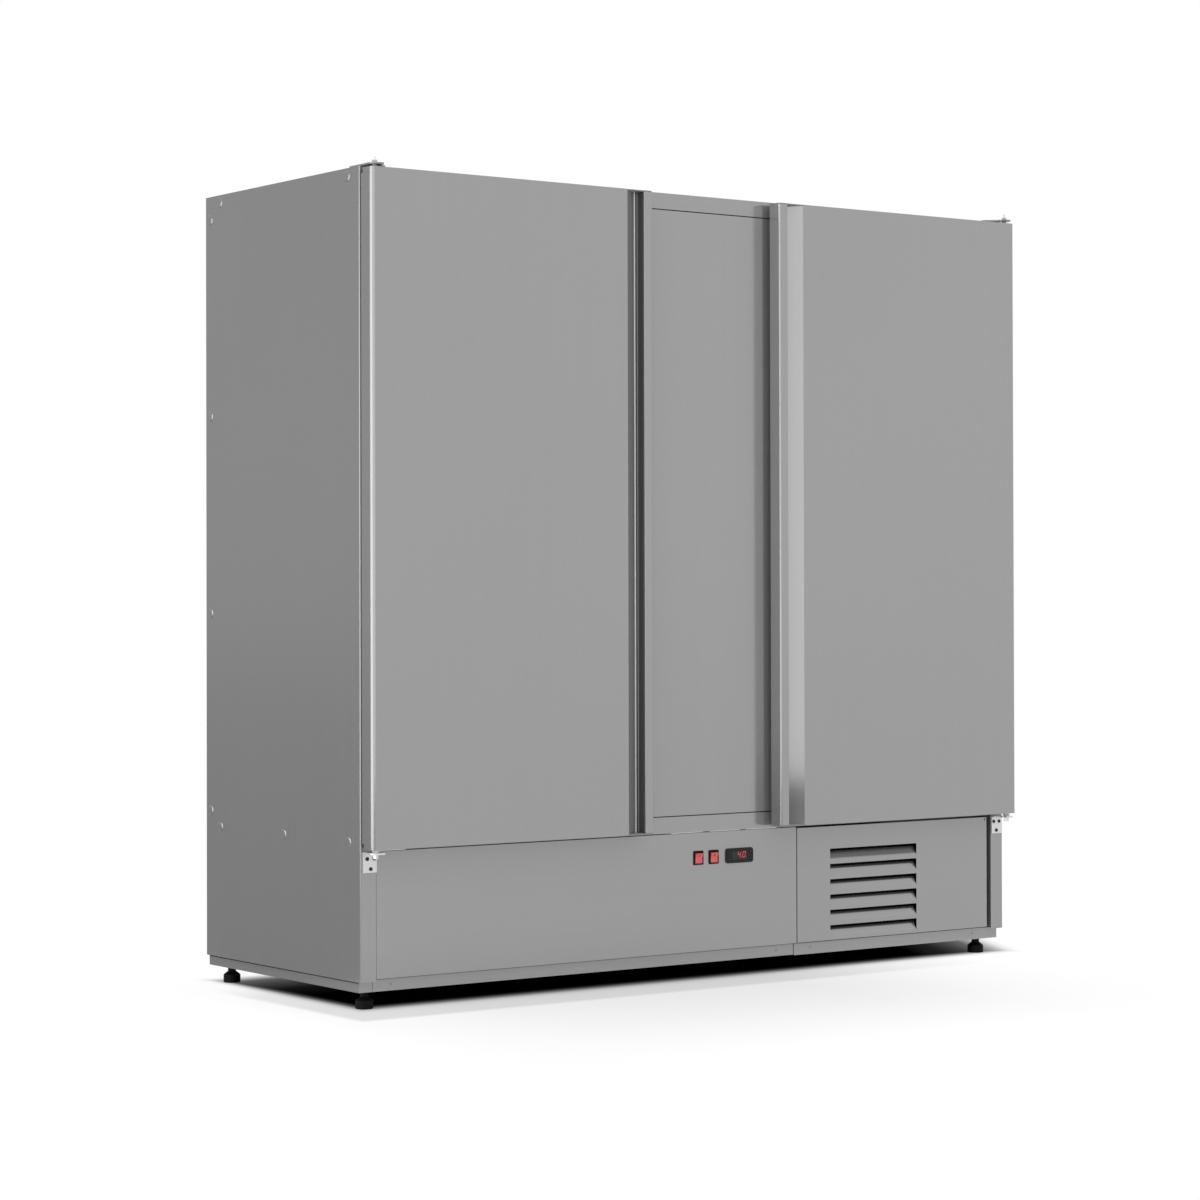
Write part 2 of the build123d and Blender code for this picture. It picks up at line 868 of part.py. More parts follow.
def hinge_bushes():
    bore = pin_radius + running_gap
    z0 = lower_plate_top + seat_gap
    z1 = door_bottom
    r = bush_radius
    low = [(bore, z0), (r - 1, z0), (r + 1, z0 + 3.5), (r - 0.5, z1), (r, z1), (r, z1 + bush_depth)]
    low += [(bore, z1 + bush_depth)]
    z2 = door_top
    high = [(bore, z2 - bush_depth), (r, z2 - bush_depth), (r, z2), (r + 2, z2)]
    high += [(r + 2, z2 + 1.5), (bore, z2 + 1.5)]
    return [turned(low, pin_x, pin_y), turned(high, pin_x, pin_y)]


def door_trim():
    low = handle_cap(door_bottom, door_bottom + cap_thickness)
    high = handle_cap(door_top - cap_thickness, door_top)
    return [low, high] + hinge_bushes()


# Hinge brackets on the body
def nose_plate(x0, back_edge, width, z0, z1):
    x1 = x0 + width
    tip_x = pin_x + bracket_square
    tip_y = pin_y - bracket_nose
    points = [(pin_x - bracket_nose + 1, pin_y), (x0, pin_y + bracket_cheek), (x0, back_edge)]
    points += [(x1, back_edge), (x1, front - bracket_lead), (tip_x, pin_y), (tip_x, tip_y)]
    points += [(pin_x, tip_y), (pin_x, pin_y)]
    plate = prism_z(points, z0, z1) + rod_z(pin_x, pin_y, z0, z1, bracket_nose)
    return plate - rod_z(pin_x, pin_y, z0 - 1, z1 + 1, pin_radius)


def top_hinge():
    z0 = top_z
    z1 = top_z + bracket_sheet
    plate = nose_plate(-half_width + bracket_sheet, front + bracket_on_roof, bracket_width, z0, z1)
    for x, y in roof_screws():
        plate -= rod_z(x, y, z0 - 1, z1 + 1, screw_shank)
    z2 = door_top - pin_depth
    z3 = top_z + pin_rise
    stem = stem_radius
    profile = [(0, z2), (pin_radius, z2), (pin_radius, z1), (stem, z1), (stem, z3), (0, z3)]
    wide, tall = collar_size
    collar = [(stem, z1), (pin_radius - 1, z1), (wide, z1 + tall), (stem, z1 + tall)]
    return [plate, turned(profile, pin_x, pin_y), turned(collar, pin_x, pin_y)]


def bottom_hinge():
    z1 = lower_plate_top
    z0 = z1 - bracket_sheet
    x0 = -half_width + lower_plate_inset
    x1 = x0 + lower_plate_width
    plate = nose_plate(x0, front, lower_plate_width, z0, z1)
    plate += block(x0, x1, front - bracket_sheet, front, z1 - lower_plate_height, z1)
    for x, z in lower_hinge_screws():
        plate -= rod_y(x, z, front - bracket_sheet - 1, front + 1, screw_shank)
    head = Pos(pin_x, pin_y, z0 - pin_head_tall) * extrude(RegularPolygon(pin_head_radius, 6), pin_head_tall)
    pin = rod_z(pin_x, pin_y, z0 - 1, door_bottom + pin_depth, pin_radius)
    return [plate, head + pin]


# Lower front panels
def control_panel():
    x0 = -half_width + post_width + control_side_gap
    x1 = control_right
    z0 = deck_z
    z1 = cabin_z - control_top_gap
    y1 = front + panel_return
    pan = block(x0, x1, front, y1, z0, z1)
    pan -= block(x0 + skin, x1 - skin, front + skin, y1 + 1, z0 + skin, z1 - skin)
    pan += block(x0, x1, front, front + panel_foot, z0, z0 + skin)
    for x in rocker_places:
        pan -= rounded_plate(x, controls_z, bezel_throat, bezel_corner, front - 1, front + skin * 2)
    pan -= rounded_plate(controller_x, controls_z, controller_body, bezel_corner, front - 1, front + skin * 2)
    return pan


def louvre(index):
    top = base_z + louvre_top - louvre_pitch * index
    low = top - louvre_slot
    x1 = louvre_left + louvre_length
    slot = block(louvre_left, x1, front - 1, front + skin + 1, low, top)
    lean = math.sin(math.radians(louvre_angle))
    rise = math.cos(math.radians(louvre_angle))
    reach = louvre_reach
    points = [(front, low), (front + reach * lean, low + reach * rise)]
    points += [(front + reach * lean + skin * rise, low + reach * rise - skin * lean)]
    points += [(front + skin, low - louvre_root), (front, low - louvre_root)]
    flap = prism_x(points, louvre_left + louvre_end_gap, x1 - louvre_end_gap)
    return slot, flap


def grille_panel():
    z0 = deck_z + seat_gap
    z1 = z0 + grille_height
    y1 = front + panel_return
    pan = block(grille_left, grille_right, front, y1, z0, z1)
    pan -= block(grille_left + skin, grille_right - skin, front + skin, y1 + 1, z0 + skin, z1 - skin)
    pan += block(grille_left, grille_right, front, front + panel_foot, z0, z0 + skin)
    notch_x = grille_right - catch_inset
    low = z1 - catch_drop
    pan -= block(notch_x - catch_slot[0], notch_x, front - 1, front + skin * 2, low, low + catch_slot[1])
    for index in range(louvre_count):
        slot, flap = louvre(index)
        pan -= slot
        pan += flap
    return pan


# Controls
def rocker_bezels():
    bezels = []
    for x in rocker_places:
        ring_face = rounded_plate(x, controls_z, bezel_size, 1.5, front - bezel_proud, front)
        body = rounded_plate(x, controls_z, bezel_throat, bezel_corner, front, front + rocker_body_deep)
        deep = front + rocker_body_deep - bezel_floor
        window = rounded_plate(x, controls_z, bezel_window, window_corner, front - bezel_proud - 1, deep)
        bezels.append(ring_face + body - window)
    return bezels


def rocker(x):
    y = front - bezel_proud + rocker_pivot_depth
    high = rocker_size[1] / 2
    lift = rocker_pivot_depth + rocker_rise
    dish, shallow, deep = rocker_profile
    points = [(-lift, -high), (dish - lift, 0), (-lift, high), (shallow, high), (deep, 0), (shallow, -high)]
    x0 = x - rocker_size[0] / 2
    key = prism_x([(y + dy, controls_z + dz) for dy, dz in points], x0, x0 + rocker_size[0])
    half_axle = bezel_window[0] / 2 - axle_play
    axle = rod_x(y, controls_z, x - half_axle, x + half_axle, axle_radius)
    pose = Pos(0, y, controls_z) * Rot(rocker_tilt, 0, 0) * Pos(0, -y, -controls_z)
    return pose * (key + axle)


def key_places():
    dx, dz = key_offset
    return {
        "key_up": (controller_x - dx, controls_z + dz),
        "key_down": (controller_x - dx, controls_z - dz),
        "key_set": (controller_x + dx, controls_z + dz),
        "key_defrost": (controller_x + dx, controls_z - dz),
    }


def controller_case():
    y0 = front - controller_proud
    face = rounded_plate(controller_x, controls_z, controller_face, controller_corner, y0, front)
    face = fillet(face.faces().sort_by(Axis.Y)[0].edges(), controller_edge)
    y1 = front + controller_deep
    body = rounded_plate(controller_x, controls_z, controller_body, bezel_corner, front, y1)
    case = face + body
    case -= rounded_plate(controller_x, controls_z, display_size, key_corner, y0 - 1, y0 + display_deep)
    for x, z in key_places().values():
        hole = (key_size[0] + key_gap * 2, key_size[1] + key_gap * 2)
        case -= rounded_plate(x, z, hole, key_corner, y0 - 1, y0 + key_thick - key_proud + key_travel)
    return case


def key(x, z):
    y0 = front - controller_proud - key_proud
    return rounded_plate(x, z, key_size, key_corner - key_gap, y0, y0 + key_thick - running_gap)


def electrical_box():
    width, deep, tall = box_size
    x0 = -box_from_middle - width
    x1 = -box_from_middle
    y0 = front + box_from_front
    y1 = y0 + deep
    z1 = deck_z + tall
    box = block(x0, x1, y0, y1, deck_z, z1)
    box = fillet(box.edges().filter_by(Axis.Z), box_corner)
    lid = block(x0 - box_lip, x1 + box_lip, y0 - box_lip, y1 + box_lip, z1, z1 + box_lid)
    lid = fillet(lid.edges().filter_by(Axis.Z), box_corner)
    middle = (y0 + y1) / 2
    z2 = z1 + box_lid
    half = box_rail / 2
    rail = block(x0 + box_rail, x1 - box_rail, middle - half, middle + half, z2, z2 + box_corner)
    return box + lid + rail


# Shelves inside
def shelf_levels():
    return [inner_floor + shelf_first + i * shelf_pitch for i in range(shelf_count)]


def shelf_area():
    x0 = -inner_half + upright_deep + shelf_side_gap
    x1 = -shelf_middle_gap
    y0 = center_back + upright_deep + shelf_front_gap
    y1 = inner_back - shelf_rear_gap
    return x0, x1, y0, y1


def wire_shelf(z):
    x0, x1, y0, y1 = shelf_area()
    width = x1 - x0
    deep = y1 - y0
    outline = Rectangle(width, deep)
    clear = width - shelf_frame * 2
    opening = (clear - shelf_wire * (shelf_bars - 1)) / shelf_bars
    pitch = opening + shelf_wire
    long_slot = (deep - shelf_frame * 3) / 2
    slots = Sketch()
    for side in (-1, 1):
        y = side * (long_slot + shelf_frame) / 2
        for place in GridLocations(pitch, 0, shelf_bars, 1):
            slots += Pos(0, y) * place * Rectangle(opening, long_slot)
    grid = extrude(outline - slots, shelf_thick)
    return Pos((x0 + x1) / 2, (y0 + y1) / 2, z) * grid


def upright(z0, z1):
    strip = block(-upright_deep, 0, -upright_width / 2, upright_width / 2, z0, z1)
    inside = upright_width / 2 - upright_sheet
    strip -= block(-upright_deep - 1, -upright_sheet, -inside, inside, z0 - 1, z1 + 1)
    half_slot = upright_slot[0] / 2
    for i in range(int((z1 - z0 - upright_margin) // upright_pitch)):
        z = z0 + upright_margin + i * upright_pitch
        strip -= block(-upright_sheet - 1, 1, -half_slot, half_slot, z, z + upright_slot[1])
    return strip


def shelf_supports():
    z0 = inner_floor
    z1 = inner_floor + shelf_first + shelf_pitch * (shelf_count - 1) + upright_over
    x_wall = -inner_half + upright_deep
    y_front = center_back + upright_front
    y_rear = inner_back - upright_rear
    strip = upright(z0, z1)
    pieces = [Pos(x_wall, y, 0) * strip for y in (y_front, y_rear)]
    pieces += [flip(piece) for piece in pieces]
    pieces.append(Pos(0, inner_back - upright_deep, 0) * Rot(0, 0, -90) * strip)
    pieces.append(Pos(0, center_back + upright_deep, 0) * Rot(0, 0, 90) * strip)
    wide = clip_wide / 2
    for z in shelf_levels():
        top = z
        low = z - clip_thick
        clips = [block(x_wall, x_wall + clip_reach, y - wide, y + wide, low, top) for y in (y_front, y_rear)]
        clips += [flip(clip) for clip in clips]
        y0 = center_back + upright_deep
        y1 = inner_back - upright_deep
        clips.append(block(-clip_reach, clip_reach, y0, y0 + clip_reach, low, top))
        clips.append(block(-clip_reach, clip_reach, y1 - clip_reach - clip_rear_extra, y1, low, top))
        pieces += clips
    return pieces


# Cooling inside the cabinet
def fan(radius, hub, deep, blades):
    body = Rot(90, 0, 0) * Cylinder(hub, deep)
    span = radius - hub + blade_root
    for i in range(blades):
        blade = Box(span, blade_thick, radius * blade_chord)
        blade = fillet(blade.edges().filter_by(Axis.Y), radius * blade_corner)
        blade = Pos(hub - blade_root + span / 2, 0, 0) * Rot(blade_pitch, 0, 0) * blade
        body += Rot(0, 360 / blades * i, 0) * blade
    return body - Rot(90, 0, 0) * Cylinder(shaft_radius + running_gap, deep + 2)


def cooler_frame():
    y1 = inner_back - cooler_rear_gap
    y0 = y1 - cooler_deep
    z1 = inner_top
    z0 = z1 - cooler_tall
    return y0, y1, z0, z1


def fan_blade_y():
    return cooler_frame()[0] + hub_deep / 2 + fan_inset


def evaporator_housing():
    y0, y1, z0, z1 = cooler_frame()
    s = cooler_sheet
    x1 = cooler_half - s
    box = block(-cooler_half, cooler_half, y0, y1, z0, z1)
    box -= block(-x1, x1, y0 + s, y1 + 1, z0 + s, z1 - s)
    x2 = cooler_half - cooler_slot
    box -= block(-x2, x2, y1 - cooler_slot * 3, y1 - cooler_slot, z0 - 1, z0 + s + 1)
    center_z = (z0 + z1) / 2
    motors = []
    for x in (-cooler_fan_x, cooler_fan_x):
        box -= rod_y(x, center_z, y0 - 1, y0 + s + 1, cooler_fan_radius)
        duct = rod_y(x, center_z, y0 + s, y0 + cooler_duct, cooler_fan_radius + 2)
        box += duct - rod_y(x, center_z, y0, y0 + cooler_duct + 1, cooler_fan_radius)
        box += fan_guard(x, y0, center_z)
        y = fan_blade_y() + hub_deep / 2 + fan_to_motor
        motor = rod_y(x, center_z, y, y + motor_deep, small_motor_radius)
        motor += rod_y(x, center_z, y - hub_deep - fan_to_motor, y, shaft_radius)
        y_arm = y + motor_deep / 2
        for z2, z3 in ((z0 + s, center_z), (center_z, z1 - s)):
            motor += block(x - arm_width / 2, x + arm_width / 2, y_arm, y_arm + arm_thick, z2, z3)
        motors.append(motor)
    return [box] + motors


def fan_guard(x, y, z):
    guard = Part()
    outer = cooler_fan_radius + guard_wire / 2
    for i in range(guard_rings):
        r = outer - i * guard_pitch
        ring_out = rod_y(x, z, y - guard_wire, y, r + guard_wire / 2)
        guard += ring_out - rod_y(x, z, y - guard_wire - 1, y + 1, r - guard_wire / 2)
    for i in range(3):
        spoke = Box(outer * 2 + guard_wire, guard_wire, guard_wire)
        guard += Pos(x, y - guard_wire / 2, z) * Rot(0, 60 * i + 15, 0) * spoke
    return guard


def evaporator_fan(x):
    y0, y1, z0, z1 = cooler_frame()
    blades = fan(cooler_fan_radius - fan_tip_gap, hub_radius, hub_deep, fan_blades)
    return Pos(x, fan_blade_y(), (z0 + z1) / 2) * blades


def finned_block(x0, x1, y0, y1, z0, z1, gap):
    core = block(x0 + 2, x1 - 2, y0 + fin_rise, y1 - fin_rise, z0 + fin_rise, z1 - fin_rise)
    coil = core + block(x0, x0 + 2, y0, y1, z0, z1) + block(x1 - 2, x1, y0, y1, z0, z1)
    count = int((x1 - x0 - gap) // gap)
    first = (x0 + x1) / 2 - gap * (count - 1) / 2
    for i in range(count):
        x = first + i * gap
        coil += block(x - fin_thick / 2, x + fin_thick / 2, y0 + 1, y1 - 1, z0 + 1, z1 - 1)
    return coil


def bends(x, side, y, z0, z1, rows):
    pitch = (z1 - z0) / (rows * 2)
    reach = x + side * pitch
    shapes = Part()
    for i in range(rows):
        z = z0 + pitch * (2 * i + 1)
        loop = Pos(x, y, z) * Rot(90, 0, 0) * Torus(pitch / 2, pipe_radius)
        keep = block(min(x, reach), max(x, reach), y - pitch, y + pitch, z - pitch, z + pitch)
        shapes += loop & keep
    return shapes


def evaporator_coil():
    y0, y1, z0, z1 = cooler_frame()
    x = cooler_half - evaporator_inset
    low = z0 + cooler_sheet + seat_gap
    high = z1 - evaporator_drop
    near, far = y1 - evaporator_inset - evaporator_deep, y1 - evaporator_inset
    coil = finned_block(-x, x, near, far, low, high, evaporator_fin_gap)
    middle = (near + far) / 2
    for side in (-1, 1):
        coil += bends(x * side, side, middle, low + bend_margin, high - bend_margin, evaporator_rows)
    return coil


def interior_lamp():
    half_base, base_deep, base_tall = lamp_base
    half_cover, cover_deep, cover_tall = lamp_cover
    y0 = center_back + lamp_back
    z0 = inner_top - base_tall
    base = block(-half_base, half_base, y0, y0 + base_deep, z0, inner_top)
    y1 = y0 + (base_deep - cover_deep) / 2
    cover = block(-half_cover, half_cover, y1, y1 + cover_deep, z0 - cover_tall, z0)
    cover = fillet(cover.edges().filter_by(Axis.X).sort_by(Axis.Z)[:2], lamp_edge)
    return [base, cover]


# Machine compartment
def coil_frame():
    y0 = front + coil_front_gap
    z0 = deck_z + coil_foot
    return y0, y0 + coil_deep, z0, z0 + coil_tall


def condenser_coil():
    y0, y1, z0, z1 = coil_frame()
    coil = finned_block(coil_left, coil_right, y0, y1, z0, z1, coil_fin_gap)
    y = (y0 + y1) / 2
    coil += bends(coil_right, 1, y, z0 + bend_margin, z1 - bend_margin, coil_rows)
    coil += bends(coil_left, -1, y, z0 + bend_margin, z1 - bend_margin, coil_rows)
    for x in (coil_left, coil_right - 2):
        coil += block(x, x + 2, y0, y1, deck_z, z0)
    return coil


def condenser_fan_y():
    return coil_frame()[1] + shroud_deep - hub_deep / 2 - shroud_fan_inset


def condenser_shroud():
    y0, y1, z0, z1 = coil_frame()
    s = shroud_sheet
    shell = block(coil_left, coil_right, y1, y1 + shroud_deep, deck_z, z1)
    shell -= block(coil_left + s, coil_right - s, y1 - 1, y1 + shroud_deep - s, deck_z + s, z1 - s)
    x = (coil_left + coil_right) / 2
    z = (z0 + z1) / 2
    shell -= rod_y(x, z, y1 + shroud_deep - s - 1, y1 + shroud_deep + 1, condenser_fan_radius)
    y = condenser_fan_y() + hub_deep / 2 + fan_to_motor * 3
    motor = rod_y(x, z, y, y + motor_deep, motor_radius)
    motor += rod_y(x, z, y - hub_deep - fan_to_motor * 3, y, shaft_radius)
    half, thick, foot_deep = motor_stand
    foot_y = y + motor_deep / 2
    motor += block(x - half, x + half, foot_y, foot_y + thick, deck_z, z)
    motor += block(x - half, x + half, foot_y, foot_y + foot_deep, deck_z, deck_z + thick)
    return [shell, motor]


def condenser_fan():
    y0, y1, z0, z1 = coil_frame()
    blades = fan(condenser_fan_radius - fan_tip_gap, hub_radius, hub_deep, fan_blades)
    return Pos((coil_left + coil_right) / 2, condenser_fan_y(), (z0 + z1) / 2) * blades


def compressor():
    r = compressor_radius
    z0 = deck_z + compressor_foot
    z1 = z0 + compressor_tall
    pot = rod_z(0, 0, z0, z1, r)
    pot = fillet(pot.edges().sort_by(Axis.Z)[-1], pot_top_round)
    pot = fillet(pot.edges().sort_by(Axis.Z)[0], pot_low_round)
    seam = (z0 + z1) / 2 - pot_seam
    pot += rod_z(0, 0, seam - pot_seam / 4, seam + pot_seam / 4, r + pot_seam / 3)
    half, low, high = terminal_size
    terminal = block(r - pot_seam, r + half, -half, half, z0 + low, z0 + high)
    terminal = fillet(terminal.edges().filter_by(Axis.X), pot_seam / 2)
    half_x, half_y = mount_plate
    plate = block(-half_x, half_x, -half_y, half_y, z0 - 1, z0 + 2)
    grommet = rod_z(0, 0, deck_z, z0 - 1, grommet_radius)
    x1, y1 = half_x - grommet_radius, half_y - grommet_radius
    grommets = [Pos(dx, dy, 0) * grommet for dx in (-x1, x1) for dy in (-y1, y1)]
    pieces = [pot + plate + terminal] + grommets
    return [Pos(compressor_x, compressor_y, 0) * piece for piece in pieces]


def drain_tray():
    x0 = tray_from_middle
    x1 = x0 + tray_size[0]
    y1 = back_y - tray_from_back
    y0 = y1 - tray_size[1]
    z1 = deck_z + tray_size[2]
    tray = block(x0, x1, y0, y1, deck_z, z1)
    tray = fillet(tray.edges().filter_by(Axis.Z), tray_corner)
    w = tray_wall
    inside = block(x0 + w, x1 - w, y0 + w, y1 - w, deck_z + w, z1 + 1)
    return tray - fillet(inside.edges().filter_by(Axis.Z), tray_corner - w)


def pipe(points):
    path = FilletPolyline(*points, radius=pipe_bend)
    start = Plane(origin=path @ 0, z_dir=path % 0)
    return sweep(start * Circle(pipe_radius), path=path)


def refrigerant_pipes():
    y0, y1, z0, z1 = coil_frame()
    y_coil = (y0 + y1) / 2
    bend_pitch = (z1 - z0 - bend_margin * 2) / (coil_rows * 2)
    high = z0 + bend_margin + bend_pitch * (coil_rows - coil_rows % 2)
    low = z0 + bend_margin + bend_pitch * 2
    x_pot = compressor_x - compressor_radius
    x_free = coil_left - pipe_clearance
    rise_y = compressor_y + pipe_spacing
    discharge = [(x_pot, compressor_y, high), (x_free, compressor_y, high), (x_free, y_coil, high)]
    discharge += [(coil_left, y_coil, high)]
    x_rise = x_free - pipe_spacing
    x_side = compressor_x - math.sqrt(compressor_radius ** 2 - (pipe_spacing - pipe_radius) ** 2)
    suction = [(x_side, rise_y, high), (x_rise, rise_y, high), (x_rise, rise_y, cabin_z)]
    x_drier = x_rise - pipe_spacing
    liquid = [(coil_left, y_coil, low), (x_drier, y_coil, low), (x_drier, y_coil, cabin_z)]
    drier_low = low + pipe_spacing * 2
    drier = rod_z(x_drier, y_coil, drier_low, drier_low + drier_length, drier_radius)
    drier = fillet(drier.edges(), drier_edge)
    return [pipe(discharge), pipe(suction), pipe(liquid) + drier]


def rear_grille():
    edge = half_width - skin
    plate = block(-edge, edge, back_y - skin, back_y, deck_z - deck_sheet, cabin_z - panel_gap)
    long, tall = vent_slot
    for x0 in (-half_width + vent_left, half_width - vent_right):
        for column in range(vent_columns):
            for row in range(vent_rows):
                x = x0 + column * (long + vent_bridge)
                z = deck_z + vent_rise + row * vent_pitch
                plate -= block(x, x + long, back_y - skin * 2, back_y + 1, z, z + tall)
    return plate - rod_y(gland_x, gland_z, back_y - skin * 2, back_y + 1, gland_radius - gland_rim)


def cable_gland():
    end = back_y + gland_length
    flange = rod_y(gland_x, gland_z, back_y, back_y + gland_flange, gland_radius + 2)
    dome = rod_y(gland_x, gland_z, back_y + gland_flange, end, gland_radius)
    dome = fillet(dome.edges().sort_by(Axis.Y)[-1], gland_edge)
    hexagon = Rot(90, 0, 0) * extrude(RegularPolygon(gland_radius + 2, 6), gland_flange)
    body = flange + dome + Pos(gland_x, back_y + gland_flange * 2, gland_z) * hexagon
    return body - rod_y(gland_x, gland_z, back_y - 1, end + 1, gland_bore)


os.makedirs("parts", exist_ok=True)

save("left_side_panel", side_panel())
save("right_side_panel", flip(side_panel()))
save("roof_pan", roof_pan())
save("bottom_pan", bottom_pan())
save("back_panel", back_panel())
save("foam_jacket", *foam_jacket())
save("inner_liner", inner_liner())
save("center_panel", *center_panel())
save("breaker_frames", breaker_frame(), flip(breaker_frame()))
save("base_rails", *base_rails())
plinth_left = -half_width + plinth_inset + base_rail_wide + plinth_end_gap
save("front_plinth_left", plinth_bar(plinth_left, plinth_split - plinth_split_gap, 0.0))
save("front_plinth_right", plinth_bar(plinth_split, half_width - plinth_inset, plinth_step))
save("machine_deck", machine_deck())
save("control_panel", control_panel())
save("grille_panel", grille_panel())
save("fixing_screws", *fixing_screws())
save("side_caps", *side_caps())
for place, (foot_x, foot_y) in foot_places().items():
    save(f"foot_{place}", foot(foot_x, foot_y))

for side, turn in (("left", lambda shape: shape), ("right", flip)):
    save(f"{side}_door_skin", turn(door_skin()))
    save(f"{side}_door_foam", turn(door_foam()))
    save(f"{side}_door_inner_panel", turn(door_inner_panel()))
    save(f"{side}_door_handle", turn(door_handle()))
    save(f"{side}_door_gasket", turn(door_gasket()))
    save(f"{side}_door_trim", *[turn(piece) for piece in door_trim()])
    save(f"{side}_shelves", *[turn(wire_shelf(z)) for z in shelf_levels()])

save("top_hinge_brackets", *top_hinge(), *[flip(piece) for piece in top_hinge()])
save("bottom_hinge_brackets", *bottom_hinge(), *[flip(piece) for piece in bottom_hinge()])
save("rocker_bezels", *rocker_bezels())
save("power_rocker", rocker(rocker_places[0]))
save("light_rocker", rocker(rocker_places[1]))
save("controller_case", controller_case())
for name, (key_x, key_z) in key_places().items():
    save(name, key(key_x, key_z))
save("electrical_box", electrical_box())
save("shelf_supports", *shelf_supports())
save("evaporator_housing", *evaporator_housing())
save("evaporator_coil", evaporator_coil())
save("evaporator_fan_left", evaporator_fan(-cooler_fan_x))
save("evaporator_fan_right", evaporator_fan(cooler_fan_x))
save("interior_lamp", *interior_lamp())
save("condenser_coil", condenser_coil())
save("condenser_shroud", *condenser_shroud())
save("condenser_fan", condenser_fan())
save("compressor", *compressor())
save("drain_tray", drain_tray())
save("refrigerant_pipes", *refrigerant_pipes())
save("rear_grille", rear_grille())
save("cable_gland", cable_gland())
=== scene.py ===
import math

import bmesh
import bpy
from mathutils import Matrix, Vector


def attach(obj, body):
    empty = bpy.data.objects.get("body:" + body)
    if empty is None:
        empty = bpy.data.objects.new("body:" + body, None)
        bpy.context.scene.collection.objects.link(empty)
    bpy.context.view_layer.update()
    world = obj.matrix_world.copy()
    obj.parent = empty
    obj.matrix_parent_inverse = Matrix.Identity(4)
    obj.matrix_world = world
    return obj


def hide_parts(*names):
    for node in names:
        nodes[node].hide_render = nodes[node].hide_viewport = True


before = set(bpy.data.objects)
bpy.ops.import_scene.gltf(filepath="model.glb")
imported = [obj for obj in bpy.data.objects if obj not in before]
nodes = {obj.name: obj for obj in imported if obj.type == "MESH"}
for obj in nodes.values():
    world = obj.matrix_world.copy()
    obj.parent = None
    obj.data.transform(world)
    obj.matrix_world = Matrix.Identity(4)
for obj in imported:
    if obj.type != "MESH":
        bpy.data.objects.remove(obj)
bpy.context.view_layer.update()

mm = 0.001
print("frame loaded,", len(nodes), "nodes")


# ---- camera, first of all

cameraSettings = {
    "place": (-4.7918, -6.5292, 0.9607),  # metres from the middle of the footprint
    "yaw": 35.834,      # degrees, from +Y towards +X
    "pitch": 0.5065,
    "roll": -0.1403,
    "lens": 94.6,
    "sensor": 36.0,
    "shiftY": -0.02893,
    "clip": (0.1, 200),
}


def aimAxes(yaw, pitch, roll):
    y, p, r = (math.radians(v) for v in (yaw, pitch, roll))
    forward = Vector((math.sin(y) * math.cos(p), math.cos(y) * math.cos(p), math.sin(p)))
    flat = Vector((math.cos(y), -math.sin(y), 0))
    up = flat.cross(forward)
    right = flat * math.cos(r) + up * math.sin(r)
    return right, up * math.cos(r) - flat * math.sin(r), forward


def addCamera(s):
    data = bpy.data.cameras.new("mainCamera")
    data.lens, data.sensor_width, data.shift_y = s["lens"], s["sensor"], s["shiftY"]
    data.clip_start, data.clip_end = s["clip"]
    camera = bpy.data.objects.new("mainCamera", data)
    bpy.context.scene.collection.objects.link(camera)
    right, up, forward = aimAxes(s["yaw"], s["pitch"], s["roll"])
    turn = Matrix((right, up, -forward)).transposed()  # columns are the camera's own axes
    camera.matrix_world = Matrix.Translation(s["place"]) @ turn.to_4x4()
    bpy.context.scene.camera = camera


addCamera(cameraSettings)
print("camera set")


# ---- small tools for node trees

def addNode(tree, kind, inputs=None, **settings):
    node = tree.nodes.new("ShaderNode" + kind)
    for name, value in settings.items():
        setattr(node, name, value)
    for name, value in (inputs or {}).items():
        if isinstance(value, bpy.types.NodeSocket):
            tree.links.new(value, node.inputs[name])
        else:
            node.inputs[name].default_value = value
    return node


def calc(tree, operation, a, b=0.0):
    return addNode(tree, "Math", {0: a, 1: b}, operation=operation).outputs[0]


def fold(tree, operation, *values):
    # one result of several values, taken in turn
    found = values[0]
    for value in values[1:]:
        found = calc(tree, operation, found, value)
    return found


def remap(tree, value, fromLow, fromHigh, toLow, toHigh):
    node = addNode(tree, "MapRange", {"Value": value, "From Min": fromLow, "From Max": fromHigh,
                                      "To Min": toLow, "To Max": toHigh})
    return node.outputs[0]


def blendColor(tree, share, first, second):
    a = first if isinstance(first, bpy.types.NodeSocket) else (*first, 1)
    b = second if isinstance(second, bpy.types.NodeSocket) else (*second, 1)
    return addNode(tree, "Mix", {0: share, 6: a, 7: b}, data_type="RGBA").outputs[2]


def objectPlace(tree, scale=(1, 1, 1), shift=(0, 0, 0)):
    place = addNode(tree, "TexCoord").outputs["Object"]
    return addNode(tree, "Mapping", {"Vector": place, "Scale": scale, "Location": shift}).outputs[0]


def noise(tree, place, scale, detail=2.0, rough=0.5):
    return addNode(tree, "TexNoise", {"Vector": place, "Scale": scale, "Detail": detail,
                                      "Roughness": rough}).outputs[0]


def emptyTree(owner):
    # the node tree of a material or a world, cleared
    owner.use_nodes = True
    owner.node_tree.nodes.clear()
    return owner.node_tree


def newMaterial(name):
    material = bpy.data.materials.new(name)
    tree = emptyTree(material)
    shader = addNode(tree, "BsdfPrincipled")
    addNode(tree, "OutputMaterial", {"Surface": shader.outputs[0]})
    return material, tree, shader


edgeLook = {"samples": 4, "flat": 0.995, "round": 0.8}


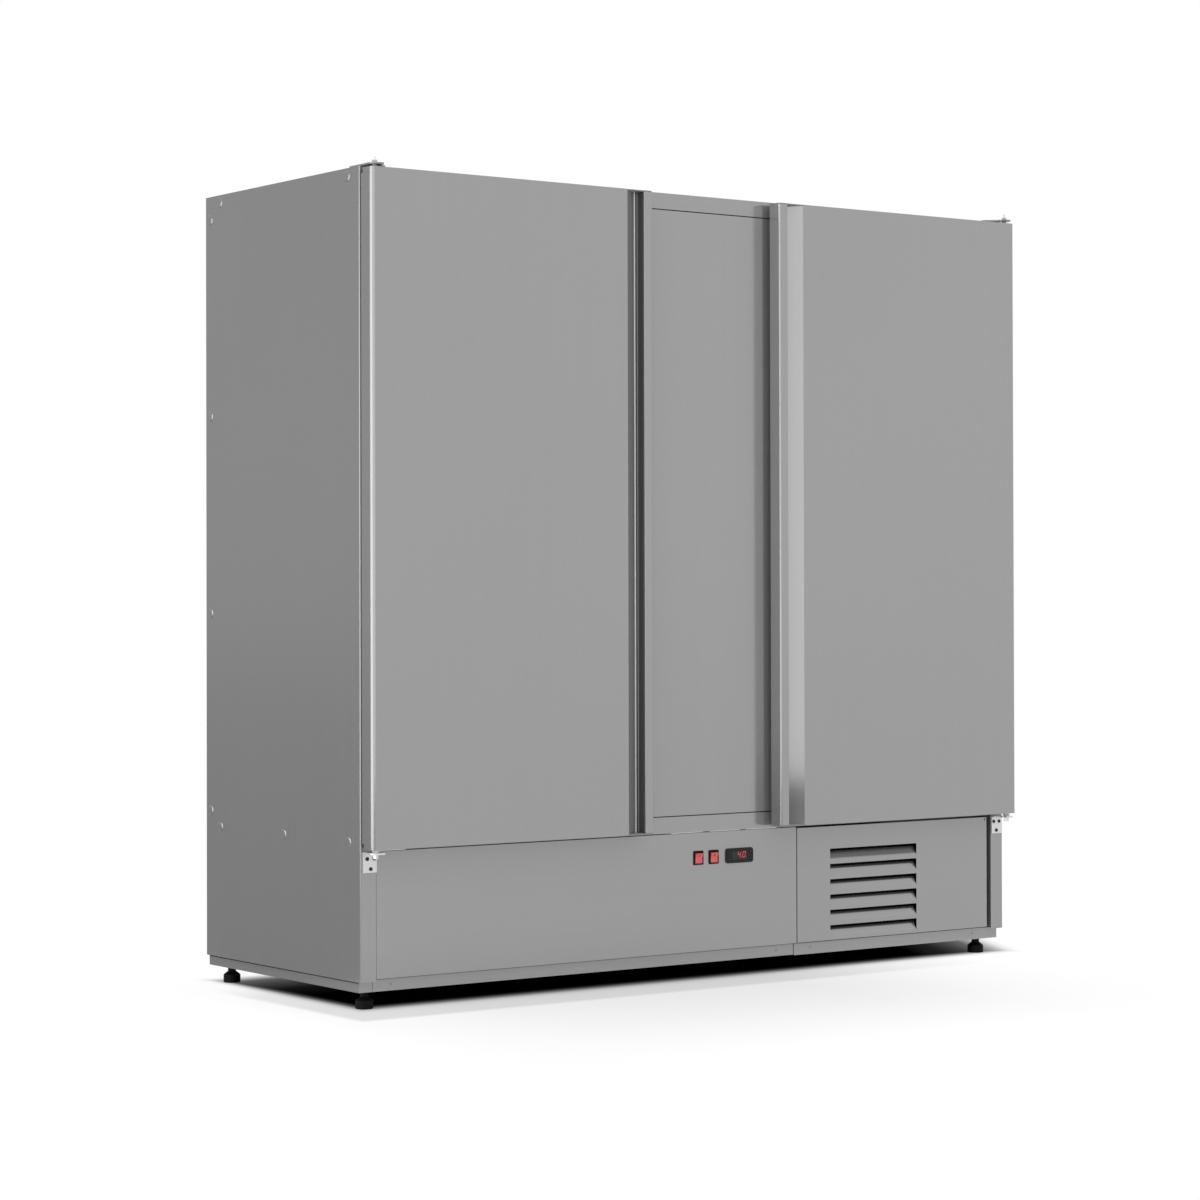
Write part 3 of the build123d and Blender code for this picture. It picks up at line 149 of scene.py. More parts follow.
def edgeMask(tree, radius):
    # soft edges: the rounded normal, and a mask that is 1 on the edges
    rounded = addNode(tree, "Bevel", {"Radius": radius}, samples=edgeLook["samples"]).outputs[0]
    flat = addNode(tree, "NewGeometry").outputs["Normal"]
    same = addNode(tree, "VectorMath", {0: rounded, 1: flat}, operation="DOT_PRODUCT").outputs["Value"]
    return rounded, remap(tree, same, edgeLook["flat"], edgeLook["round"], 0.0, 1.0)


def wire(tree, shader, found):
    # joins results to the shader's inputs
    for name, value in found.items():
        tree.links.new(value, shader.inputs[name.replace("_", " ")])


# ---- metal finishes

def brushedMetal(s):
    material, tree, shader = newMaterial(s["name"])
    along = {"x": (s["run"], s["fine"], s["fine"]), "y": (s["fine"], s["run"], s["fine"]),
             "z": (s["fine"], s["fine"], s["run"])}[s["grain"]]
    streaks = noise(tree, objectPlace(tree, along), 1.0, s["streakDetail"], s["streakRough"])
    wide = noise(tree, objectPlace(tree, [v * s["broad"] for v in along], s["broadShift"]), 1.0)
    cloud = noise(tree, objectPlace(tree, shift=s["cloudShift"]), s["cloudScale"])
    shares = [calc(tree, "MULTIPLY", value, s[name])
              for name, value in (("streakShare", streaks), ("wideShare", wide), ("cloudShare", cloud))]
    shade = calc(tree, "ADD", shares[0], calc(tree, "ADD", shares[1], shares[2]))
    total = s["streakShare"] + s["wideShare"] + s["cloudShare"]
    share = remap(tree, shade, *[total * limit for limit in s["spread"]], 0.0, 1.0)
    low = [c * (1 - s["vary"]) for c in s["color"]]
    high = [c * (1 + s["vary"]) for c in s["color"]]
    color = blendColor(tree, share, low, high)
    normal, edge = edgeMask(tree, s["edge"])
    worn = [min(1, c * s["edgeLift"]) for c in s["color"]]
    color = blendColor(tree, calc(tree, "MULTIPLY", edge, s["wear"]), color, worn)
    if "shade" in s:  # painted shade, darker towards the back: start, end in metres and level
        start, end, level = s["shade"]
        depth = addNode(tree, "SeparateXYZ", {0: objectPlace(tree)}).outputs[1]
        color = blendColor(tree, remap(tree, depth, start, end, 0.0, 1.0), color, [c * level for c in s["color"]])
    rough = remap(tree, calc(tree, "ADD", streaks, wide), *s["roughSpread"], *s["rough"])
    bump = addNode(tree, "Bump", {"Strength": s["bump"], "Distance": s["bumpDeep"], "Height": streaks,
                                  "Normal": normal}).outputs[0]
    wire(tree, shader, {"Base Color": color, "Roughness": rough, "Normal": bump})
    shader.inputs["Metallic"].default_value = s["metal"]
    return material


steelBase = {
    "color": (0.365, 0.366, 0.368), "grain": "z", "fine": 1500.0, "run": 7.0, "cloudScale": 1.3,
    "streakShare": 0.5, "wideShare": 0.3, "cloudShare": 0.5, "vary": 0.03, "edge": 0.0007, "wear": 0.4,
    "streakDetail": 3.0, "streakRough": 0.6, "broad": 0.07, "broadShift": (3.1, 1.7, 0.4),
    "cloudShift": (0.7, 2.3, 1.1), "spread": (0.3, 0.7), "roughSpread": (0.6, 1.4), "rough": (0.13, 0.18),
    "edgeLift": 1.35, "bump": 0.2, "bumpDeep": 0.00003,
    "metal": 0.5,  # the rest answers as matt, which keeps soft shadows on it
}


def steel(name, level=None, **changes):
    # a brushed steel; the level stands for an even grey
    if level:
        changes["color"] = (level, level + 0.001, level + 0.003)
    return brushedMetal({**steelBase, "name": name, **changes})


frontSteel = steel("frontSteel")
# painted shade: a darker copy of the front steel for faces turned to the back left, partly painted shade and
# partly the dimmer light there
sideSteel = steel("sideSteel", 0.3, rough=(0.16, 0.22))
panelSteel = steel("panelSteel", 0.365, grain="x")
# painted shade: the louvre blades darken deeper in; the top louvre darkens over a longer run, as under the door
louvreShadeSteel = steel("louvreShadeSteel", grain="x", shade=(-0.3289, -0.3272, 0.36))
topLouvreShadeSteel = steel("topLouvreShadeSteel", grain="x", shade=(-0.3364, -0.334, 0.38))
# painted shade: near-black steel standing for the shade in the seams over and under the centre panel
seamShadeSteel = steel("seamShadeSteel", grain="x", color=(0.07, 0.07, 0.071), wear=0.1)
handleSteel = steel("handleSteel", rough=(0.07, 0.1))
# painted shade: a darker copy of the steel for the handle groove and the lip's inner wall
grooveShadeSteel = steel("grooveShadeSteel", 0.17, wear=0.2)
innerSteel = steel("innerSteel", color=(0.5, 0.502, 0.505), rough=(0.24, 0.32))
hingeSteel = steel("hingeSteel", color=(0.75, 0.75, 0.755), fine=900.0, run=60.0, rough=(0.22, 0.3), vary=0.05)
# painted shade: a darker copy of the bright hinge steel for the top brackets, seen from below
topBracketShadeSteel = steel("topBracketShadeSteel", 0.29, rough=(0.3, 0.4))
railSteel = steel("railSteel", 0.235, grain="y", metal=0.35, rough=(0.34, 0.46))
screwSteel = steel("screwSteel", color=(0.5, 0.5, 0.5), fine=2500.0, metal=0.9, run=900.0, edge=0.0004,
                   rough=(0.16, 0.26), vary=0.08)
# painted shade: near-black heads for the bracket screws, standing for the shade in their recesses
darkScrew = steel("darkScrew", color=(0.03, 0.03, 0.03), fine=2500.0, run=900.0, edge=0.0006, wear=1.0,
                  rough=(0.2, 0.3), vary=0.1)
zincSteel = steel("zincSteel", color=(0.36, 0.364, 0.37), fine=60.0, run=45.0, cloudScale=9.0, cloudShare=0.9,
                  rough=(0.36, 0.5), vary=0.09, bump=0.1)


def finMetal(s):
    # stacked thin sheets: close stripes across X, the darker stripes painted shade in the gaps between the sheets
    material, tree, shader = newMaterial(s["name"])
    place = objectPlace(tree)
    stripes = addNode(tree, "TexWave", {"Vector": place, "Scale": s["stripes"], "Distortion": s["wobble"]},
                      wave_type="BANDS", bands_direction="X").outputs["Fac"]
    dust = noise(tree, place, s["dustScale"], s["dustDetail"])
    color = blendColor(tree, remap(tree, stripes, *s["stripeSpread"], 0.0, 1.0), s["groove"], s["color"])
    color = blendColor(tree, remap(tree, dust, *s["dustSpread"], 0.0, s["dust"]), color, s["dustColor"])
    bump = addNode(tree, "Bump", {"Strength": s["bump"], "Distance": s["bumpDeep"], "Height": stripes}).outputs[0]
    rough = remap(tree, dust, *s["roughSpread"], *s["rough"])
    wire(tree, shader, {"Base Color": color, "Roughness": rough, "Normal": bump})
    shader.inputs["Metallic"].default_value = s["metal"]
    return material


finBase = {
    "stripes": 90.0, "wobble": 0.15, "stripeSpread": (0.2, 0.9), "dustScale": 35.0, "dustDetail": 4.0,
    "dustSpread": (0.5, 0.75), "roughSpread": (0.3, 0.8), "bump": 0.6, "bumpDeep": 0.0006, "metal": 0.9,
}
finAluminium = finMetal({
    **finBase, "name": "finAluminium", "color": (0.6, 0.61, 0.62), "groove": (0.16, 0.165, 0.17),
    "dust": 0.3, "dustColor": (0.25, 0.24, 0.22), "rough": (0.3, 0.5),
})
finBlack = finMetal({
    **finBase, "name": "finBlack", "color": (0.03, 0.03, 0.031), "groove": (0.008, 0.008, 0.008),
    "dust": 0.25, "dustColor": (0.06, 0.057, 0.052), "rough": (0.4, 0.6),
})
print("metal finishes made")


# ---- plastics, rubber, foam

def mouldedPlastic(s):
    material, tree, shader = newMaterial(s["name"])
    place = objectPlace(tree)
    grain = noise(tree, place, s["grainScale"], s["grainDetail"])
    cloud = noise(tree, place, s["cloudScale"])
    low = [c * (1 - s["vary"]) for c in s["color"]]
    high = [min(1, c * (1 + s["vary"])) for c in s["color"]]
    color = blendColor(tree, remap(tree, cloud, *s["spread"], 0.0, 1.0), low, high)
    normal, edge = edgeMask(tree, s["edge"])
    color = blendColor(tree, calc(tree, "MULTIPLY", edge, s["wear"]), color, s["edgeColor"])
    rough = remap(tree, grain, *s["spread"], *s["rough"])
    bump = addNode(tree, "Bump", {"Strength": s["bump"], "Distance": s["bumpDeep"], "Height": grain,
                                  "Normal": normal}).outputs[0]
    wire(tree, shader, {"Base Color": color, "Roughness": rough, "Normal": bump})
    shader.inputs["Specular IOR Level"].default_value = s["gloss"]
    return material


plasticBase = {
    "grainScale": 2600.0, "grainDetail": 3.0, "cloudScale": 40.0, "vary": 0.06, "spread": (0.3, 0.7),
    "edge": 0.0004, "wear": 0.35, "rough": (0.35, 0.5), "bump": 0.2, "bumpDeep": 0.00005, "gloss": 0.4,
}


def plastic(name, color, edgeColor, **changes):
    return mouldedPlastic({**plasticBase, "name": name, "color": color, "edgeColor": edgeColor, **changes})


blackPlastic = plastic("blackPlastic", (0.004, 0.004, 0.0045), (0.012, 0.012, 0.012), gloss=0.1)
caseBlack = plastic("caseBlack", (0.019, 0.019, 0.02), (0.06, 0.06, 0.06), gloss=0.18)
displayBlack = plastic("displayBlack", (0.02, 0.016, 0.017), (0.04, 0.04, 0.04), bump=0.03, rough=(0.08, 0.14))
whitePlastic = plastic("whitePlastic", (0.8, 0.8, 0.78), (0.86, 0.86, 0.84))
bushWhite = plastic("bushWhite", (0.95, 0.95, 0.94), (0.97, 0.97, 0.96), vary=0.02)
greyPlastic = plastic("greyPlastic", (0.24, 0.243, 0.245), (0.3, 0.3, 0.3))
boxGrey = plastic("boxGrey", (0.42, 0.43, 0.44), (0.5, 0.5, 0.5), grainScale=900.0, bump=0.35)
rockerRed = plastic("rockerRed", (0.85, 0.13, 0.125), (0.85, 0.2, 0.18), cloudScale=260.0, vary=0.12,
                    rough=(0.18, 0.28), bump=0.08)
lampPlastic = plastic("lampPlastic", (0.86, 0.86, 0.83), (0.9, 0.9, 0.88), rough=(0.25, 0.35))
wireCoat = plastic("wireCoat", (0.6, 0.61, 0.61), (0.66, 0.66, 0.66), edge=0.0002, rough=(0.25, 0.38),
                   cloudScale=14.0)
footBlack = plastic("footBlack", (0.005, 0.005, 0.0055), (0.02, 0.02, 0.02), grainScale=900.0,
                    rough=(0.45, 0.62), bump=0.3, gloss=0.1)
gasketGrey = plastic("gasketGrey", (0.17, 0.172, 0.175), (0.24, 0.24, 0.24), grainScale=1400.0,
                     rough=(0.5, 0.66), bump=0.3, cloudScale=6.0)
blackCoat = plastic("blackCoat", (0.02, 0.02, 0.021), (0.09, 0.09, 0.09), grainScale=700.0,
                    rough=(0.28, 0.42), edge=0.0012, bump=0.25)
markGrey = plastic("markGrey", (0.3, 0.3, 0.3), (0.34, 0.34, 0.34), edge=0.0001)
dotDark = plastic("dotDark", (0.02, 0.008, 0.008), (0.05, 0.015, 0.015), edge=0.0001)


def cellFoam(s):
    material, tree, shader = newMaterial(s["name"])
    place = objectPlace(tree)
    cells = addNode(tree, "TexVoronoi", {"Vector": place, "Scale": s["cells"]}).outputs["Distance"]
    cloud = noise(tree, place, s["cloudScale"], s["cloudDetail"])
    color = blendColor(tree, remap(tree, cells, *s["cellSpread"], 0.0, 1.0), s["deep"], s["color"])
    color = blendColor(tree, remap(tree, cloud, *s["cloudSpread"], 0.0, s["agedShare"]), color, s["aged"])
    bump = addNode(tree, "Bump", {"Strength": s["bump"], "Distance": s["bumpDeep"], "Height": cells}).outputs[0]
    wire(tree, shader, {"Base Color": color, "Normal": bump})
    shader.inputs["Roughness"].default_value = s["rough"]
    return material


foamYellow = cellFoam({
    "name": "foamYellow", "color": (0.86, 0.76, 0.46), "deep": (0.62, 0.5, 0.26), "aged": (0.7, 0.52, 0.25),
    "agedShare": 0.4, "cells": 700.0, "cellSpread": (0.1, 0.6), "cloudScale": 12.0, "cloudDetail": 3.0,
    "cloudSpread": (0.4, 0.8), "bump": 0.6, "bumpDeep": 0.0006, "rough": 0.9,
})


def pipeCopper(s):
    material, tree, shader = newMaterial(s["name"])
    place = objectPlace(tree)
    tarnish = noise(tree, place, s["tarnishScale"], s["tarnishDetail"])
    color = blendColor(tree, remap(tree, tarnish, *s["dullSpread"], 0.0, 1.0), s["color"], s["dull"])
    rough = remap(tree, tarnish, *s["roughSpread"], *s["rough"])
    dents = noise(tree, place, s["dentScale"])
    bump = addNode(tree, "Bump", {"Strength": s["bump"], "Distance": s["bumpDeep"], "Height": dents}).outputs[0]
    wire(tree, shader, {"Base Color": color, "Roughness": rough, "Normal": bump})
    shader.inputs["Metallic"].default_value = 1.0
    return material


copper = pipeCopper({
    "name": "copper", "color": (0.72, 0.36, 0.22), "dull": (0.35, 0.17, 0.1), "dullSpread": (0.4, 0.7),
    "tarnishScale": 60.0, "tarnishDetail": 4.0, "roughSpread": (0.35, 0.75), "rough": (0.25, 0.5),
    "dentScale": 900.0, "bump": 0.15, "bumpDeep": 0.0001,
})


def litRed(s):
    # glowing segments of the display, a little uneven as behind a diffuser
    material, tree, shader = newMaterial(s["name"])
    glow = noise(tree, objectPlace(tree), s["glowScale"])
    color = blendColor(tree, remap(tree, glow, *s["spread"], 0.0, 1.0), s["low"], s["high"])
    wire(tree, shader, {"Base Color": color, "Emission Color": color})
    shader.inputs["Emission Strength"].default_value = s["strength"]
    shader.inputs["Roughness"].default_value = s["rough"]
    return material


displayRed = litRed({
    "name": "displayRed", "low": (0.7, 0.05, 0.05), "high": (0.9, 0.09, 0.09), "strength": 0.65,
    "glowScale": 900.0, "spread": (0.3, 0.7), "rough": 0.4,
})
print("plastic finishes made")


# ---- materials on the CAD nodes

nodeFinish = {
    frontSteel: ["left_door_skin", "right_door_skin", "center_panel"],
    handleSteel: ["left_door_handle", "right_door_handle"],
    sideSteel: ["left_side_panel", "right_side_panel", "side_caps"],
    panelSteel: ["roof_pan", "bottom_pan", "control_panel", "grille_panel", "front_plinth_left",
                 "front_plinth_right"],
    innerSteel: ["inner_liner", "left_door_inner_panel", "right_door_inner_panel", "shelf_supports"],
    zincSteel: ["back_panel", "machine_deck", "rear_grille"],
    railSteel: ["base_rails"],
    # painted shade: the top brackets take the darker steel
    topBracketShadeSteel: ["top_hinge_brackets"],
    hingeSteel: ["bottom_hinge_brackets"],
    screwSteel: ["fixing_screws"],
    finAluminium: ["evaporator_coil"],
    finBlack: ["condenser_coil"],
    blackCoat: ["compressor", "condenser_shroud"],
    blackPlastic: ["drain_tray", "rocker_bezels", "cable_gland", "evaporator_fan_left", "evaporator_fan_right",
                   "condenser_fan", "key_up", "key_down", "key_set", "key_defrost"],
    caseBlack: ["controller_case"],
    boxGrey: ["electrical_box"],
    greyPlastic: ["breaker_frames", "left_door_trim", "right_door_trim"],
    whitePlastic: ["evaporator_housing"],
    lampPlastic: ["interior_lamp"],
    rockerRed: ["power_rocker", "light_rocker"],
    footBlack: ["foot_front_left", "foot_front_right", "foot_rear_left", "foot_rear_right"],
    gasketGrey: ["left_door_gasket", "right_door_gasket"],
    foamYellow: ["foam_jacket", "left_door_foam", "right_door_foam"],
    wireCoat: ["left_shelves", "right_shelves"],
    copper: ["refrigerant_pipes"],
}
for finish, names in nodeFinish.items():
    for name in names:
        nodes[name].data.materials.clear()
        nodes[name].data.materials.append(finish)
bare = [name for name in nodes if not nodes[name].data.materials]
if bare:
    raise RuntimeError(f"no finish for {bare}")


def finishWhere(name, material, test):
    # a second finish on the faces whose middle passes the test, given in millimetres
    mesh = nodes[name].data
    mesh.materials.append(material)
    index = len(mesh.materials) - 1
    for face in mesh.polygons:
        if test(face.center / mm):
            face.material_index = index


# places in millimetres, in the frame of the CAD
pinPlace = {
    "x": 981.0, "y": -373.0, "pinReach": 3.0, "bushReach": 12.0,
    "collarReach": (2.6, 8.0), "collarZ": (1949.05, 1955.2),
}
grooveShade = {"x": (224.3, 236.3), "y": (-390.2, -360.0)}  # painted shade: the lip's inner wall and the groove as far as the rib
# painted highlight: the grip rib's faces
gripRibHighlight = {"x": (236.3, 238.2), "y": (-391.0, -350.0)}
facePlace = {
    "doorSide": 999.5,      # side walls of the door skins
    "flangeFront": -336.9,  # front flanges of the side panels
    "railFront": -317.9,    # front ends of the base rails
    "bracketScrewZ": (290.0, 360.0), "bracketScrewX": 950.0, "plinthScrewZ": 120.0,
    "roofLip": 1906.1, "panLip": 409.0, "lipFront": -325.0,  # painted shade on the lips of the seams over and under the centre panel
    "panelEdges": (412.0, 1903.0), "panelFront": -326.5, "edgeNear": 0.05,
    "louvreX": (402.5, 695.5), "louvreY": (-335.9, -324.0), "louvreZ": (80.0, 278.0), "topLouvreZ": (278.0, 300.0),
    "displayY": (-340.7, -340.1), "displayZ": (295.0, 315.0), "displayRight": 129.5,
}


def between(value, limits):
    return limits[0] < value < limits[1]


def pinDistance(c):
    return math.hypot(abs(c.x) - pinPlace["x"], c.y - pinPlace["y"])


def within(c, s):
    return between(abs(c.x), s["x"]) and between(c.y, s["y"])


def dressDoors(s):
    for side in ("left", "right"):
        finishWhere(f"{side}_door_trim", bushWhite, lambda c: pinDistance(c) < pinPlace["bushReach"])
        # painted shade in the handle groove
        finishWhere(f"{side}_door_handle", grooveShadeSteel, lambda c: within(c, grooveShade))
        # painted highlight: the grip rib takes the bright hinge steel
        finishWhere(f"{side}_door_handle", hingeSteel, lambda c: within(c, gripRibHighlight))
        # painted shade: the door skins' side walls take the darker side steel, the side panels' front flanges the
        # front steel
        finishWhere(f"{side}_door_skin", sideSteel, lambda c: abs(c.x) > s["doorSide"])
        finishWhere(f"{side}_side_panel", frontSteel, lambda c: c.y < s["flangeFront"])


def dressHinges(s):
    finishWhere("top_hinge_brackets", bushWhite,
                lambda c: between(pinDistance(c), s["collarReach"]) and between(c.z, s["collarZ"]))
    finishWhere("top_hinge_brackets", hingeSteel,
                lambda c: pinDistance(c) < s["pinReach"] and c.z > s["collarZ"][1])


def dressCase(s):
    # painted shade: the bracket screws take near-black heads
    finishWhere("fixing_screws", darkScrew,
                lambda c: between(c.z, s["bracketScrewZ"]) and abs(c.x) > s["bracketScrewX"])
    finishWhere("fixing_screws", zincSteel, lambda c: c.z < s["plinthScrewZ"])
    finishWhere("base_rails", panelSteel, lambda c: c.y < s["railFront"])
    # painted shade in the seams by the centre panel
    finishWhere("roof_pan", seamShadeSteel, lambda c: c.z < s["roofLip"] and c.y < s["lipFront"])
    finishWhere("bottom_pan", seamShadeSteel, lambda c: c.z > s["panLip"] and c.y < s["lipFront"])
    finishWhere("center_panel", seamShadeSteel,
                lambda c: c.y < s["panelFront"] and min(abs(c.z - z) for z in s["panelEdges"]) < s["edgeNear"])
    # painted shade on the louvre blades
    for material, heights in ((louvreShadeSteel, s["louvreZ"]), (topLouvreShadeSteel, s["topLouvreZ"])):
        finishWhere("grille_panel", material,
                    lambda c: between(c.x, s["louvreX"]) and between(c.y, s["louvreY"]) and between(c.z, heights))
    finishWhere("controller_case", displayBlack,
                lambda c: between(c.y, s["displayY"]) and between(c.z, s["displayZ"]) and c.x < s["displayRight"])


dressDoors(facePlace)
dressHinges(pinPlace)
dressCase(facePlace)
print("finishes on", sum(len(v) for v in nodeFinish.values()), "nodes")


# ---- mesh tools

def linkObject(name, data, material):
    made = bpy.data.objects.new(name, data)
    bpy.context.scene.collection.objects.link(made)
    data.materials.append(material)
    return made


def piece(name, mesh, body, material, smooth=False, stands=()):
    data = bpy.data.meshes.new(name)
    bmesh.ops.recalc_face_normals(mesh, faces=mesh.faces)
    for vertex in mesh.verts:
        vertex.co *= mm
    mesh.to_mesh(data)
    mesh.free()
    for face in data.polygons:
        face.use_smooth = smooth
    made = linkObject(name, data, material)
    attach(made, body)
    if stands:
        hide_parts(*stands)


def circle(count):
    return [(math.cos(2 * math.pi * k / count), math.sin(2 * math.pi * k / count)) for k in range(count)]


def joinRings(mesh, first, second):
    for k in range(len(first)):
        after = (k + 1) % len(first)
        mesh.faces.new((first[k], first[after], second[after], second[k]))


def addTube(mesh, points, radius, sides, closed=False):
    # a round bar along flat, level points
    rings = []
    count = len(points)
    up = Vector((0, 0, 1))
    for i, point in enumerate(points):
        before = points[i - 1] if closed or i else point
        after = points[(i + 1) % count] if closed or i < count - 1 else point
        across = (after - before).normalized().cross(up).normalized()
        rings.append([mesh.verts.new(point + radius * (c * across + v * up)) for c, v in circle(sides)])
    for i in range(count if closed else count - 1):
        joinRings(mesh, rings[i], rings[(i + 1) % count])
    if not closed:
        mesh.faces.new(rings[0])
        mesh.faces.new(list(reversed(rings[-1])))


def roundedLoop(x0, x1, y0, y1, z, radius, steps=6):
    points = []
    for cx, cy, start in ((x1 - radius, y1 - radius, 0), (x0 + radius, y1 - radius, 90),
                          (x0 + radius, y0 + radius, 180), (x1 - radius, y0 + radius, 270)):
        for i in range(steps + 1):
            a = math.radians(start + 90 * i / steps)
            points.append(Vector((cx + radius * math.cos(a), cy + radius * math.sin(a), z)))
    return points


def addPrism(mesh, outline, shift):
    # a flat outline given as points, pushed by the shift
    low = [mesh.verts.new(p) for p in outline]
    high = [mesh.verts.new(p + shift) for p in outline]
    mesh.faces.new(low)
    mesh.faces.new(list(reversed(high)))
    for i in range(len(low)):
        j = (i + 1) % len(low)
        mesh.faces.new((low[i], high[i], high[j], low[j]))


# ---- door gaskets: a foot, a bellows and a magnet head, mitred at the corners

gasketShape = {
    "free": 211.5, "hinge": 983.0,      # from the middle of the cabinet to the outer edges
    "low": 385.3, "high": 1929.0,
    "back": -352.0,                     # the door's inner face
    "width": 22.0,
    "half": [(0.5, 0.0), (0.0, 0.6), (0.0, 3.2), (0.9, 4.0), (4.6, 4.1), (5.6, 4.7), (6.6, 5.6), (5.4, 6.6),
             (4.6, 7.2), (1.0, 7.9), (0.0, 8.8), (0.0, 13.4), (0.8, 14.3), (2.2, 14.7), (6.5, 14.5)],
}


def addGasket(side, sign, s):
    mesh = bmesh.new()
    profile = list(s["half"]) + [(s["width"] - a, v) for a, v in reversed(s["half"])]
    loops = []
    for a, v in profile:
        near, far = s["free"] + a, s["hinge"] - a
        low, high = s["low"] + a, s["high"] - a
        corners = ((near, low), (far, low), (far, high), (near, high))
        loops.append([mesh.verts.new((sign * x, s["back"] + v, z)) for x, z in corners])
    for i in range(len(loops)):
        joinRings(mesh, loops[i], loops[(i + 1) % len(loops)])
    piece(f"{side}Gasket", mesh, f"{side}_door", gasketGrey, stands=[f"{side}_door_gasket"])


for side, sign in (("left", -1), ("right", 1)):
    addGasket(side, sign, gasketShape)
print("gaskets made")


# ---- wire shelves

shelfShape = {
    "levels": (640.0, 890.0, 1140.0, 1390.0),
    "x": (8.0, 936.0), "y": (-265.0, 300.0),
    "frame": 3.0, "frameSides": 12, "corner": 14.0,
    "wire": 1.4, "wires": 29, "wireSides": 8, "pitch": 30.25,
    "wireRise": 4.6,                    # middle of the wires over the shelf's underside
    "bar": 1.6, "bars": (-140.0, 17.5, 175.0),
}


def addShelf(side, sign, index, s):
    z = s["levels"][index]
    x0, x1 = sorted((sign * s["x"][0], sign * s["x"][1]))
    y0, y1 = s["y"]
    r = s["frame"]
    mesh = bmesh.new()
    edge = roundedLoop(x0 + r, x1 - r, y0 + r, y1 - r, z + r, s["corner"])
    addTube(mesh, edge, r, s["frameSides"], closed=True)
    middle = (x0 + x1) / 2
    for i in range(s["wires"]):
        x = middle + (i - (s["wires"] - 1) / 2) * s["pitch"]
        ends = [Vector((x, y, z + s["wireRise"])) for y in (y0 + r, y1 - r)]
        addTube(mesh, ends, s["wire"], s["wireSides"])
    for y in s["bars"]:
        ends = [Vector((x, y, z + s["bar"])) for x in (x0 + r, x1 - r)]
        addTube(mesh, ends, s["bar"], s["wireSides"])
    piece(f"{side}Shelf{index + 1}", mesh, "cabinet", wireCoat, smooth=True,
          stands=[f"{side}_shelves"])


for side, sign in (("left", -1), ("right", 1)):
    for index in range(len(shelfShape["levels"])):
        addShelf(side, sign, index, shelfShape)
print("shelves made")


# ---- display digits, key marks and rocker dots

displayShape = {
    "face": -340.4, "raise": 0.2,
    "low": 300.0, "tall": 14.0, "wide": 7.6, "bar": 1.05, "gap": 0.2,
    "slant": 0.2,
    "digits": ((98.8, "bcfg"), (114.0, "abcdef")),
    "dots": ((110.2, 300.2), (125.8, 300.2)),
    "dotSize": 1.3, "dotSides": 8,
}


def addDigits(s):
    mesh = bmesh.new()
    push = Vector((0, -s["raise"], 0))
    w, h, t, g = s["wide"], s["tall"], s["bar"] / 2, s["gap"]
    ends = {"a": (0, h, w, h), "b": (w, h / 2, w, h), "c": (w, 0, w, h / 2), "d": (0, 0, w, 0),
            "e": (0, 0, 0, h / 2), "f": (0, h / 2, 0, h), "g": (0, h / 2, w, h / 2)}

    def place(x0, x, z):
        return Vector((x0 + x + z * s["slant"], s["face"], s["low"] + z))

    for x0, segments in s["digits"]:
        for segment in segments:
            ax, az, bx, bz = ends[segment]
            if az == bz:
                shape = [(ax + g, az), (ax + g + t, az + t), (bx - g - t, az + t), (bx - g, az),
                         (bx - g - t, az - t), (ax + g + t, az - t)]
            else:
                shape = [(ax, az + g), (ax + t, az + g + t), (ax + t, bz - g - t), (ax, bz - g),
                         (ax - t, bz - g - t), (ax - t, az + g + t)]
            addPrism(mesh, [place(x0, x, z) for x, z in shape], push)
    for x, z in s["dots"]:
        r = s["dotSize"] / 2
        addPrism(mesh, [Vector((x + r * c, s["face"], z + r * v)) for c, v in circle(s["dotSides"])], push)
    piece("displayDigits", mesh, "cabinet", displayRed)


addDigits(displayShape)

keyShape = {
    "face": -341.3, "raise": 0.08, "size": 1.5,
    "up": (71.9, 313.5), "down": (71.9, 296.5), "set": (139.9, 313.5), "defrost": (139.9, 296.5),
    "arrowLow": 0.7, "ringInner": 0.6,  # shares of the size
    "ringSteps": 16, "arms": 3, "armHalf": 0.2,
    "layer": 0.01, "merge": 0.001,
}


def flatShape(mesh, corners, x, z, y, push):
    addPrism(mesh, [Vector((x + dx, y, z + dz)) for dx, dz in corners], push)


def addArrowMark(name, turn, s, push):
    mesh = bmesh.new()
    r, low = s["size"], -s["size"] * s["arrowLow"]
    flatShape(mesh, [(dx, dz * turn) for dx, dz in ((-r, low), (r, low), (0, r))], *s[name], s["face"], push)
    piece(f"{name}KeyMark", mesh, f"key_{name}", markGrey)


def addRingMark(s, push):
    # a ring of short pieces
    mesh = bmesh.new()
    outer = [(s["size"] * c, s["size"] * v) for c, v in circle(s["ringSteps"])]
    inner = [(c * s["ringInner"], v * s["ringInner"]) for c, v in outer]
    for k in range(s["ringSteps"]):
        after = (k + 1) % s["ringSteps"]
        flatShape(mesh, [outer[k], outer[after], inner[after], inner[k]], *s["set"], s["face"], push)
    bmesh.ops.remove_doubles(mesh, verts=mesh.verts, dist=s["merge"])
    piece("setKeyMark", mesh, "key_set", markGrey)


def addStarMark(s, push):
    # crossed bars, each a little in front of the last
    mesh = bmesh.new()
    r, t = s["size"], s["armHalf"]
    for k in range(s["arms"]):
        a = math.pi * k / s["arms"]
        run, side = (math.cos(a), math.sin(a)), (-math.sin(a), math.cos(a))
        corners = [(run[0] * u + side[0] * v, run[1] * u + side[1] * v)
                   for u, v in ((-r, -t), (r, -t), (r, t), (-r, t))]
        flatShape(mesh, corners, *s["defrost"], s["face"] - s["layer"] * k, push)
    piece("defrostKeyMark", mesh, "key_defrost", markGrey)


